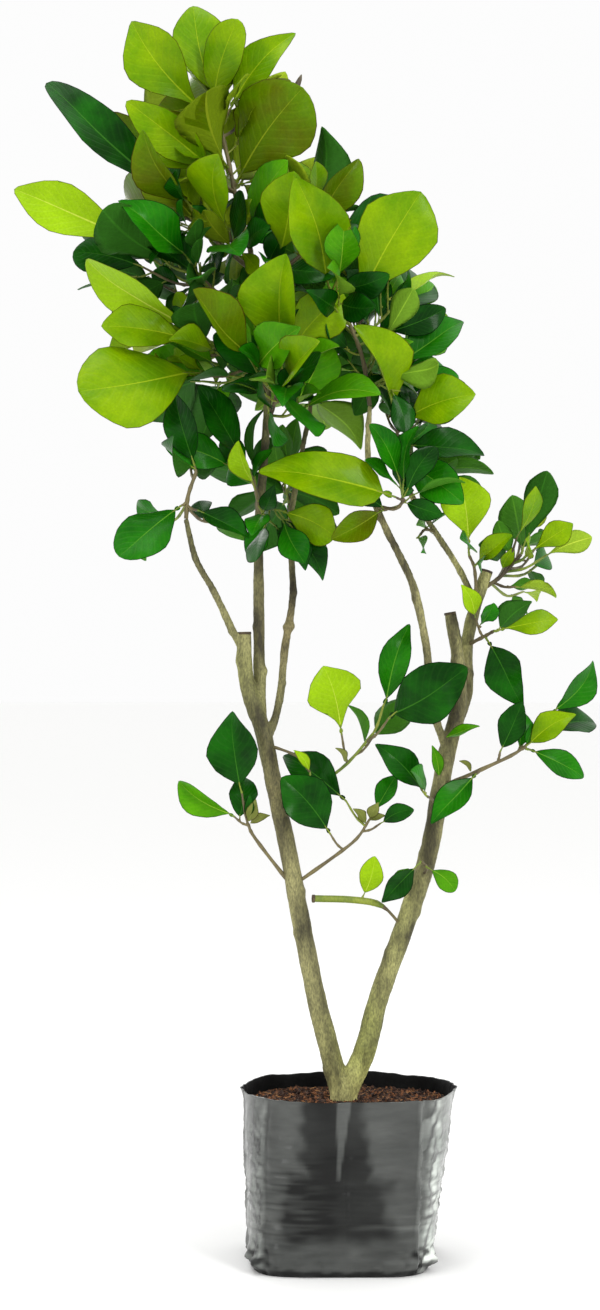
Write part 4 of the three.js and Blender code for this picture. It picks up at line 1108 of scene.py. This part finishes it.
def makeLimbSkin(lines, tree):
    shown = {**lines, **{name: SmoothLine([*arm, *limbs[name][1][2:]]) for name, arm in arms.items()}}
    wires = [wireOf(line, barkSkin["steps"]) for line in shown.values()]
    wires.append(wireOf(SmoothLine(trunkFoot), barkSkin["footSteps"]))
    tube = tubesFrom("stemsAndBranches", tree, wires, barkMaterial(), barkSkin["sides"])
    remesh = tube.modifiers.new("skin", "REMESH")
    remesh.mode = "VOXEL"
    remesh.voxel_size = barkSkin["voxel"] * mm
    remesh.use_smooth_shade = True
    smooth = tube.modifiers.new("soft", "SMOOTH")
    smooth.iterations = barkSkin["smoothing"]
    smooth.factor = 0.5
    skin = applied(tube)
    mesh = skin.data
    place, normal = (np.empty(len(mesh.vertices) * 3) for _ in range(2))
    mesh.vertices.foreach_get("co", place)
    mesh.vertices.foreach_get("normal", normal)
    place, normal = place.reshape(-1, 3) / mm, normal.reshape(-1, 3)
    lift = np.zeros(len(place))
    for k, (x, y, z) in enumerate(place):
        long, fine = drift(x * 0.42, y * 0.42, z * 0.055), drift(x * 0.9, y * 0.9, z * 0.3 + 40)
        broad = drift(x * 0.09, y * 0.09, z * 0.05 + 90)
        lift[k] = barkSkin["fissure"] * (0.5 - abs(long) * 2.2 + 0.4 * fine) + barkSkin["lumps"] * broad
    knobs = [*namedKnobs]
    for n, line in enumerate(lines.values()):
        deal = makeDice(seeds["knobs"] + n)
        length = sum(np.linalg.norm(line.at((k + 1) / 20) - line.at(k / 20)) for k in range(20))
        many = int(length / barkSkin["knobEvery"])
        for k in range(1, many):
            t = (k + 0.6 * (deal() - 0.5)) / many
            turn, radius = 2.4 * k + deal(), line.radiusAt(t)
            at = line.at(t) + np.array([math.cos(turn), math.sin(turn), 0]) * radius
            height = min(barkSkin["knobHeight"], radius * 0.3) * (0.4 + deal())
            knobs.append((*at, height, 2 + radius * 0.45))
    for x, y, z, height, width in knobs:
        away = (place - np.array([x, y, z])) / np.array([width, width, width * 0.8])
        lift += height * np.exp(-(away ** 2).sum(1))
    # the foot spreads into a few surface roots as it meets the soil
    around = np.arctan2(place[:, 1], place[:, 0] - 3)
    low = np.clip((barkSkin["soilLevel"] + 20 - place[:, 2]) / 22, 0, 1) ** 2
    lift += barkSkin["rootFlare"] * low * (0.55 + 0.45 * np.cos(3 * around + 0.7) + 0.2 * np.cos(5 * around))
    place += normal * lift[:, None]
    mesh.vertices.foreach_set("co", (place * mm).ravel())
    hue = np.full(len(place), 0.5)
    for x, z, spread, value in huePatches:
        hue += (value - hue) * np.exp(-(((place[:, 0] - x) / 34) ** 2 + ((place[:, 2] - z) / spread) ** 2))
    keepOn(mesh, "hue", hue)
    # Painted light: the foot just above the soil is painted paler where the bag's rim shades it, over a
    # general brightening of 1.25; the right side, past x = 10, is a little brighter still.
    worn = 1.25 + 1.25 * np.exp(-((place[:, 2] - 170) / 36) ** 2)  # the foot is pale
    keepOn(mesh, "worn", worn + 0.35 / (1 + np.exp((10 - place[:, 0]) / 4)))
    mesh.update()
    seat(skin, ["trunk", *limbs])


# Pruning cuts: limb or twig, and radius. Each is a worn disc and a raised lip of bark: the rings' share of
# the radius, and height.
cuts = {"left_stem": 7.2, "right_stem": 5.6, "right_outer_branch": 5.7, "arched_low_twig": 3.7}
cutRings = [(0.3, 0.5), (0.62, 0.55), (0.82, 0.35), (0.93, 1.1), (1.06, 0.9), (1.08, -1.4)]


def makeCuts(lines, crown):
    lines = {**lines, **{one["name"]: one["stem"] for one in crown}}
    points, faces, around = [], [], 28
    for name, radius in cuts.items():
        top, up = lines[name].at(1), lines[name].tangent(1)
        across = unit(np.cross(up, np.array([0.3, 1, 0])))
        other = np.cross(up, across)
        faces += discFaces(len(points), around, len(cutRings))
        points.append((top + up * 0.35) * mm)
        for share, height in cutRings:
            for turn in turnsOf(around):
                rough = 1 + 0.03 * math.sin(3 * turn + 1) + 0.02 * math.sin(7 * turn)
                way = across * math.cos(turn) + other * math.sin(turn)
                points.append((top + way * radius * share * rough + up * height) * mm)
    piece = makePiece("pruningCuts", points, faces)
    material, *_ = makePaint("cutWood", 0.85, fromScreen(44, 36, 28), fromScreen(92, 78, 56), 0.7, 0.0006,
                             (150.0, 900.0, 0.5))
    piece.data.materials.append(material)
    seat(piece, cuts)


# The film bag: one thin skin out from under its middle, up the outside, over the rim and down the inside.
filmBag = {
    # height, half width, half depth and shift
    "levels": [(0, 86, 77, 0), (7, 91, 81, 0), (90, 98, 87, 4), (172, 105, 92, 8)],
    "height": 172, "squareness": 4.4, "roundedTop": 1.9, "around": 300, "rows": 88, "film": 0.5,
    "under": (0.0, 0.35, 0.7, 0.93), "underside": 0.2, "rim": [(171.4, -0.3), (172.2, 0.1), (171.6, 0.6)],
    "inside": (168, 164, 160, 156, 150), "rimWave": 2.6, "insideWave": 0.6,
}


def bagOutline(z):
    heights, *sizes = zip(*filmBag["levels"])
    return [float(np.interp(z, heights, size)) for size in sizes]


# The way out to a round-cornered square from a turn, and how square it is at a height.
def squareWay(z, turn, share=1):
    n = filmBag["squareness"] - filmBag["roundedTop"] * z / filmBag["height"]
    c, s = math.cos(turn), math.sin(turn)
    out = share / (abs(c) ** n + abs(s) ** n) ** (1 / n)
    return c * out, s * out, n


def onSquare(z, turn, share, inset=0.0):
    halfWidth, halfDepth, shift = bagOutline(z)
    x, y, _ = squareWay(z, turn, share)
    return shift + x * (halfWidth - inset), y * (halfDepth - inset)


def ridge(value, at, width):
    return math.exp(-((value - at) / width) ** 2)


def eased(value):
    value = min(max(value, 0), 1)
    return value * value * (3 - 2 * value)


def soft(value, low, high, edge):
    return eased((value - low) / edge + 0.5) * eased((high - value) / edge + 0.5)


# Crumpled film is small flats with creases between: how far a place is from a crease, and a random
# brightness of its flat for the painted reflection, for the broad flats and for the fine ones.
def flats(x, y, z):
    found = []
    for shift, squeeze, size in ((0, 0.5, 21), (50, 0.8, 11)):
        away, seeds = noise.voronoi(Vector(((x + shift) / size, y / size, z * squeeze / size)))
        found.append((min(1, (away[1] - away[0]) * 3), noise.cell(seeds[0] * 11)))
    return found


# How much a place belongs to each side of the bag: front, back, left and right.
def sidesAt(x, y, halfWidth, halfDepth):
    flat = eased(0.5 + (abs(y) / halfDepth - abs(x) / halfWidth) / 0.16)
    return flat * (y < 0), flat * (y > 0), (1 - flat) * (x < 0), (1 - flat) * (x > 0)


def frontEdge(up):
    return 77 - 5 * (1 - up)


# How far the film stands out of the plain outline, in millimetres.
def filmLift(x, y, z, turn, sides):
    up = z / filmBag["height"]
    front, back, left, right = sides
    high = 2.2 * drift(x * 0.018, y * 0.018, z * 0.022)  # slow bulges where the soil presses
    # level wrinkles, strongest low on the front's left half and at the back
    wrinkle = 1.5 * drift(x * 0.012 + 7, y * 0.012, z * 0.16)
    wrinkle += 0.55 * drift(x * 0.03 + 3, y * 0.03, z * 0.42)
    wrinkle += 0.9 * (0.5 - 2 * abs(drift(x * 0.02 + 11, y * 0.02, z * 0.11)))
    high += wrinkle * ridge(up, 0.42, 0.34) * (1.05 + 0.4 * math.cos(turn + 0.9))
    # upright folds at both edges of the front and down its middle: height, place and width
    crease = drift(z * 0.03, 5, 1) * 3
    wedge = 7 * max(0.0, (up - 0.45) / 0.55)
    leftFold, rightFold = -78 - (1 - up), frontEdge(up)
    folds = (
        (2.4, leftFold, 2.0), (-1.4, leftFold + 5, 3.4), (2.8, rightFold, 1.8), (-2.4, rightFold + 5, 3.2),
        (0.8, crease - 36, 2.6), (-2.0 * min(1, up / 0.35), 5 + crease * 0.3, 1.5 + wedge),
        (1.1 * max(0.0, up - 0.3), 1 - wedge, 2.4),
    )
    at = x + bagOutline(z)[2]
    high += front * sum(height * ridge(at, place, width) for height, place, width in folds)
    high += back * (1.6 * ridge(x, 40 + crease, 3) + 1.4 * ridge(x, -48 - crease, 3) - 1.5 * ridge(x, 0, 6))
    # pleats down the sides, which stand out in a point at the rim
    pleat = (0.35 + 0.65 * up) * min(1.0, max(0.0, (1 - up) / 0.2))
    tucked = 1.8 * (ridge(y, 18, 3) + ridge(y, -18, 3))
    tucked -= 5.0 * ridge(y, 4 * drift(z * 0.02, 2, 9), 12) * pleat
    high += (left + right) * (tucked + 4.0 * ridge(y, 2, 9) * max(0.0, up - 0.84) / 0.16)
    # the corners and the gussets are crumpled, more so near the foot
    corner = min(abs(x) / 88, 1) ** 6 * min(abs(y) / 76, 1) ** 4
    crumple = drift(x * 0.11, y * 0.11, z * 0.09) + 0.4 * drift(x * 0.25, y * 0.25, z * 0.2)
    broad, fine = flats(x, y, z)
    sharp = 0.75 * broad[0] + 0.25 * fine[0] - 0.55
    amount = 0.22 + 1.6 * corner + 1.2 * ridge(up, 0.05, 0.1) + 0.9 * (left + right)
    high += (0.6 * crumple + 1.5 * sharp) * amount * (1 - 0.6 * max(0.0, up - 0.8) / 0.2)
    # dog-ears at the foot, from its corners on to the sides
    ear = corner + 1.2 * (left + right) * (ridge(y, -54, 15) + ridge(y, 54, 15))
    high += ear * ridge(z, 12, 8) * (2.0 + 6.0 * sharp)
    return high * min(1.0, z / 4 + 0.1)


# The film's painted sheen: 1 a plain grey painted reflection and 0 clear black, with painted darker
# reflection and painted shade in places.
def paintedSheenAt(x, y, z, sides):
    front, back, left, right = sides
    wide = drift(x * 0.03, y * 0.03, z * 0.03 + 20)
    ragged = 10 * wide + 5 * drift(x * 0.08, y * 0.08, z * 0.08 + 50)
    line, wisp = drift(x * 0.03, 3, z * 0.3), drift(x * 0.022 + z * 0.02, 8, z * 0.13)
    broad, fine = flats(x, y, z)
    facetSheen = broad[1] - 0.5 + 0.5 * (fine[1] - 0.5)
    # front: painted darker reflection in a column under the rim and in a patch low down
    darkReflection = max(soft(x + ragged * 1.3, -35, 30, 14) * soft(z, 84, 400, 30),
                   soft(x + ragged * 1.3, -52, 50, 18) * soft(z + ragged, 36, 100, 20))
    # then painted streaks of shade and of reflection, painted wisps of reflection, painted highlights along
    # the folds' edges, painted sheen on the crumpled film beyond them and a painted highlight down the
    # middle's wedge: strength, and from, to and softness across and up
    edge, wedge, always = frontEdge(z / filmBag["height"]), max(0, (z - 96) / 76), (-999, 999, 1)
    marks = (
        (-0.9 * max(0.0, line), (-90, -12, 30), (30, 112, 26)),
        (0.6 * max(0.0, -line), (-80, -20, 30), (26, 100, 26)),
        (1.5 * max(0.0, wisp - 0.12), (10, 76, 20), (14, 60, 20)),
        (3.6, (edge - 1, edge + 0.6, 1.2), (132, 171, 14)),
        (1.4, (edge - 1, edge + 0.6, 1.4), (20, 132, 30)),
        (1.3, (-80, -77.5, 1.4), (20, 176, 60)),
        (2.4 + 1.6 * facetSheen, (edge + 1.5, 200, 2), always),
        (0.8 + 0.8 * facetSheen, (-200, -80, 2), always),
        (1.0 if wedge else 0.0, (-3.8 - wedge, -2 + 11.5 * wedge, 1.6), always),
    )
    onFront = 1.05 - 0.86 * darkReflection + 0.3 * wide
    onFront += sum(strength * soft(x, *across) * soft(z, *upright) for strength, across, upright in marks)
    # the sides carry a painted sheen where they turn from the front, and the back has a painted darker patch
    # of reflection and painted dark streaks
    lit = soft(y, -300, -34, 66) * (0.6 + 0.4 * soft(z, -40, 112, 50))
    onSide = 0.95 + 0.4 * wide + 0.3 * facetSheen + lit * (5.6 * right + 1.5 * left)
    # painted darker reflection in a patch on the back
    clear = soft(x + 2.4 * ragged, -50, 30, 44) * soft(z + 2 * ragged, 16, 128, 56)
    onBack = 0.98 - 0.62 * clear + 0.4 * wide - 0.6 * max(0.0, line) * soft(z, 30, 120, 30)
    smoke = front * onFront + back * onBack + (left + right) * onSide
    # a painted shadow along the foot's fold, dark and wavy
    footShadow = soft(z + 6 * drift(x * 0.05, y * 0.05, 60), -8, 6, 3)  # the foot's fold, dark and wavy
    # painted shade and painted glints on the dog-eared corners of the foot
    ears = min(abs(x) / 82, 1) ** 7 * min(abs(y) / 70, 1) ** 3 * soft(z, -4, 28, 8)
    dented = drift(x * 0.13, y * 0.13, z * 0.16)
    smoke *= (1 - 0.88 * footShadow) * (1 - min(0.9, ears * max(0.0, 0.5 + 3.2 * dented)))
    return max(0.1, smoke + 3.5 * ears * max(0.0, -0.12 - dented))


# Welds what coincides, so that poles and seams are closed.
def weld(mesh):
    work = bmesh.new()
    work.from_mesh(mesh)
    bmesh.ops.remove_doubles(work, verts=work.verts, dist=2e-6)
    bmesh.ops.dissolve_degenerate(work, edges=work.edges, dist=1e-6)
    work.to_mesh(mesh)
    work.free()
    mesh.update()


def makeBagSkin():
    around, rows, base, under = (filmBag[key] for key in ("around", "rows", "underside", "under"))
    turns = turnsOf(around)
    points = [(*onSquare(0, turn, share), base) for share in under for turn in turns]
    smoke, lifts, crumpled = [0.6] * len(points), [], []
    rings = [(max(filmBag["height"] * (k / rows) ** 0.92, base), 0, 0.0) for k in range(rows)]
    rings += [(z, inset, filmBag["rimWave"]) for z, inset in filmBag["rim"]]
    outside = len(under) + len(rings) - 1
    rings += [(z, 0.9 + filmBag["film"], filmBag["insideWave"]) for z in filmBag["inside"]]
    for z, inset, wave in rings:
        halfWidth, halfDepth, shift = bagOutline(z)
        for turn in turns:
            alongX, alongY, n = squareWay(z, turn)
            x, y = alongX * halfWidth, alongY * halfDepth
            sides = sidesAt(x, y, halfWidth, halfDepth)
            normal = unit(np.array([np.sign(alongX) * abs(alongX) ** (n - 1) / halfWidth,
                                    np.sign(alongY) * abs(alongY) ** (n - 1) / halfDepth]))
            lift = filmLift(x, y, z, turn, sides) - inset
            rise = wave * (drift(x * 0.022, y * 0.022, 3) + 0.3 * drift(x * 0.09, y * 0.09, 8))
            points.append((x + shift + normal[0] * lift, y + normal[1] * lift, z + rise))
            smoke.append(paintedSheenAt(x + shift, y, z, sides))
            lifts.append(lift)
            crumpled.append((sides[2] + sides[3]) * (1 if x > 0 else -1))
    # painted light: facets of the crumpled sides that turn up or to the front are painted brighter, and the
    # others darker
    lifts, crumpled = (
        np.array(column[:rows * around]).reshape(rows, around) for column in (lifts, crumpled))
    turned = crumpled * (np.roll(lifts, -1, 1) - np.roll(lifts, 1, 1)) / 2
    facetLight = np.clip(1.7 * turned - 1.1 * np.abs(crumpled) * np.gradient(lifts, axis=0), -0.75, 1.2)
    smoke, first = np.array(smoke), len(under) * around
    smoke[first:first + rows * around] *= 1 + facetLight.ravel()
    faces = ringFaces(0, around, len(under) + len(rings), inward=True)
    piece = makePiece("filmBag", np.array(points) * mm, faces)
    keepOn(piece.data, "smoke", smoke)
    layers = [int(k // around >= outside) for k in range(len(faces))]
    piece.data.polygons.foreach_set("material_index", layers)
    weld(piece.data)
    material, tree, shader, colour, _ = makePaint(
        "film", 0.34, (0.036, 0.039, 0.036), (0.056, 0.059, 0.055), 0.16, 0.0012,
        (17.0, 90.0, 0.2, (0.5, 0.5, 2.0)), Coat_Roughness=0.14, Specular_IOR_Level=0.2)
    # The painted sheen scales the film's base colour: painted reflection and painted shade.
    sheenLevel = readFrom(tree, "smoke")
    tree.links.new(scaled(tree, colour, sheenLevel), shader["Base Color"])
    tree.links.new(ranged(tree, sheenLevel, 0.1, 2.0, 0.05, 0.8), shader["Coat Weight"])
    # The inside of the film is a darker, rougher copy of the film: painted shade inside the bag.
    inside, *_ = makePaint("filmInside", 0.7, (0.004, 0.004, 0.004), (0.009, 0.009, 0.009), 0.3, 0.001,
                           (30.0, 200.0, 0.3), Specular_IOR_Level=0.12)
    for layer in (material, inside):
        piece.data.materials.append(layer)
    seat(piece, ["grow_bag"])


# The soil: its lumpy top, and rings at lower heights, drawn in from the film.
soilTop = {
    "level": 159, "inset": 3.2, "rings": 46, "around": 150, "lumps": 4.6,
    "below": ((130, 8), (60, 8), (4, 14)), "patchInset": 8, "patchRings": 16, "patchAround": 60,
}


def soilHeight(x, y):
    lumps = abs(drift(x * 0.13, y * 0.13, 4)) - 0.2
    foot = 3.0 * math.exp(-(((x - 3) ** 2 + y ** 2) / 900))
    return (soilTop["level"] - 1.5 + 1.6 * drift(x * 0.035, y * 0.035, 1) + soilTop["lumps"] * lumps
            + 0.8 * drift(x * 0.4, y * 0.4, 7) + foot)


def soilPoints(rings, around, inset, below=()):
    spots, turns = [(bagOutline(soilTop["level"])[2], 0)], turnsOf(around)
    spots += [onSquare(soilTop["level"], turn, r / rings, inset)
              for r in range(1, rings + 1) for turn in turns]
    points = [(x, y, soilHeight(x, y)) for x, y in spots]
    points += [(*onSquare(z, turn, 1, inset), z) for z, inset in below for turn in turns]
    return np.array(points) * mm


def makeSoilTop():
    around, below = soilTop["around"], soilTop["below"]
    points = soilPoints(soilTop["rings"], around, soilTop["inset"], below)
    last = len(points) - around
    faces = discFaces(0, around, soilTop["rings"] + len(below))
    piece = makePiece("soilBody", points, [*faces, tuple(last + k for k in reversed(range(around)))])
    material, *_ = makePaint("cocoSoil", 0.95, fromScreen(18, 10, 6), fromScreen(86, 54, 32), 1.0, 0.0014,
                             (190.0, 620.0, 0.9))
    piece.data.materials.append(material)
    seat(piece, ["soil"])


# Crumbs and fibres on the soil, dealt out by one geometry tree over its top.
def makeScatter():
    tree, taken, given = makeGroup("crumbs", "GeometryNodeTree", {
        "Geometry": "Geometry", "Crumb": "Object", "Density": 9000.0, "Smallest": 0.5, "Largest": 1.6,
        "Tilt": 0.3, "Seed": 5, "Material": "Material"}, {"Geometry": "Geometry"})
    spots = addNode(tree, "GeometryNodeDistributePointsOnFaces", {
        "Mesh": taken["Geometry"], "Density": taken["Density"], "Seed": taken["Seed"]})
    crumb = addNode(tree, "GeometryNodeObjectInfo", {"Object": taken["Crumb"]})
    tilt, other = taken["Tilt"], calc(tree, "MULTIPLY", taken["Tilt"], -1.0)
    least = addNode(tree, "ShaderNodeCombineXYZ", {"X": other, "Y": other, "Z": 0.0})
    most = addNode(tree, "ShaderNodeCombineXYZ", {"X": tilt, "Y": tilt, "Z": 2 * math.pi})
    turn = addNode(tree, "FunctionNodeRandomValue", {
        0: least.outputs[0], 1: most.outputs[0], "Seed": taken["Seed"]}, data_type="FLOAT_VECTOR")
    size = addNode(tree, "FunctionNodeRandomValue", {
        2: taken["Smallest"], 3: taken["Largest"], "Seed": taken["Seed"]}, data_type="FLOAT")
    dealt = addNode(tree, "GeometryNodeInstanceOnPoints", {
        "Points": spots.outputs["Points"], "Instance": crumb.outputs["Geometry"],
        "Rotation": turn.outputs["Value"], "Scale": size.outputs[1]})
    return endTree(tree, dealt.outputs["Instances"], taken, given)


def crumbShape(name, length, width):
    sides, points = 5, []
    for along, wide in ((-1, 0.25), (-0.45, 0.95), (0.2, 1.0), (1, 0.3)):
        for turn in turnsOf(sides):
            y, z = (way(turn + along) * width * wide for way in (math.cos, math.sin))
            points.append((along * length, y + 0.25 * length * along * along, z))
    caps = [tuple(reversed(range(sides))), tuple(range(3 * sides, 4 * sides))]
    return makePiece(name, points, caps + ringFaces(0, sides, 4, inward=True), smooth=False)


scattered = {  # length, width, density to the square metre, smallest and largest size, tilt, colours, seed
    "darkCrumbs": (2.4, 1.5, 30000.0, 0.4, 1.5, 3.1, (20, 11, 7), (62, 36, 22), 3),
    "brownCrumbs": (2.1, 1.2, 22000.0, 0.25, 1.7, 3.1, (66, 40, 24), (142, 92, 58), 21),
    "tanFibres": (6.0, 0.45, 26000.0, 0.25, 1.4, 0.3, (104, 68, 40), (190, 138, 88), 8),
}


def makeCrumbs():
    tree = makeScatter()
    rings, around = soilTop["patchRings"], soilTop["patchAround"]
    for name, (length, width, density, smallest, largest, tilt, low, high, seed) in scattered.items():
        material, *_ = makePaint(name, 0.95, fromScreen(*low), fromScreen(*high), 0.4, 0.0003,
                                 (240.0, 900.0, 0.4))
        shape = crumbShape(f"{name}Shape", length * mm, width * mm)
        points = soilPoints(rings, around, soilTop["patchInset"])
        patch = makePiece(name, points, discFaces(0, around, rings))
        piece = useTree(patch, tree, Crumb=shape, Density=density, Smallest=smallest, Largest=largest,
                        Tilt=tilt, Seed=seed, Material=material)
        bpy.data.objects.remove(shape)
        seat(piece, ["soil"])


studio = {
    "distance": 2.55,  # camera to the tree, level with the middle of the picture
    "side": -0.04, "height": 0.604,
    "pictureHeight": 1.31,  # what the picture takes in at the tree
    "sensor": 36.0,  # runs up the picture, which is taller than wide
    "farthest": 100, "floorRadius": 30, "floorSides": 64,
    "sky": (1.0, 1.0, 1.0, 1), "skyStrength": 0.98, "floorColour": (0.98, 0.98, 0.97, 1),
    "middle": (0, 0, 0.6),
}
lamps = {  # place, width, height and watts of each soft light; all look at the tree's middle
    "keyLight": ((1.5, -2.2, 2.1), 0.7, 0.9, 31.0),
    "leftFill": ((-1.9, -2.2, 1.2), 0.8, 1.8, 8.0),
    "topLight": ((-0.4, -0.4, 3.0), 1.2, 1.2, 16.0),
    "backLight": ((-0.9, 2.2, 2.0), 1.0, 1.4, 12.0),
}


def makeStudio():
    scene = bpy.context.scene
    lens = bpy.data.cameras.new("camera")
    lens.sensor_width = studio["sensor"]
    lens.lens = lens.sensor_width * studio["distance"] / studio["pictureHeight"]
    lens.clip_end = studio["farthest"]
    camera = toScene("camera", lens)
    camera.location = (studio["side"], -studio["distance"], studio["height"])
    camera.rotation_euler = (math.pi / 2, 0, 0)
    bpy.context.scene.camera = camera
    scene.view_settings.view_transform = "Standard"
    scene.world = bpy.data.worlds.new("sky")
    scene.world.use_nodes = True
    sky = scene.world.node_tree.nodes["Background"].inputs
    sky["Color"].default_value = studio["sky"]
    sky["Strength"].default_value = studio["skyStrength"]
    for name, (place, width, height, watts) in lamps.items():
        light = bpy.data.lights.new(name, "AREA")
        light.shape = "RECTANGLE"
        light.size, light.size_y, light.energy = width, height, watts
        lamp = toScene(name, light)
        lamp.location = place
        lamp.rotation_euler = (Vector(studio["middle"]) - Vector(place)).to_track_quat("-Z", "Y").to_euler()
    radius, sides = studio["floorRadius"], studio["floorSides"]
    rim = [(radius * math.cos(turn), radius * math.sin(turn), 0) for turn in turnsOf(sides)]
    floor = makePiece("studioFloor", rim, [list(range(sides))], smooth=False)
    material, _, shader = makeMaterial("floorPaper", 0.9)
    shader["Base Color"].default_value = studio["floorColour"]
    floor.data.materials.append(material)
    print("studio ready")


limbLines, crown = growCrown()
tubes = makeTubes()
makeLeaves(crown)
makeTwigs(crown, tubes)
makeLimbSkin(limbLines, tubes)
makeCuts(limbLines, crown)
makeBagSkin()
makeSoilTop()
makeCrumbs()
makeStudio()
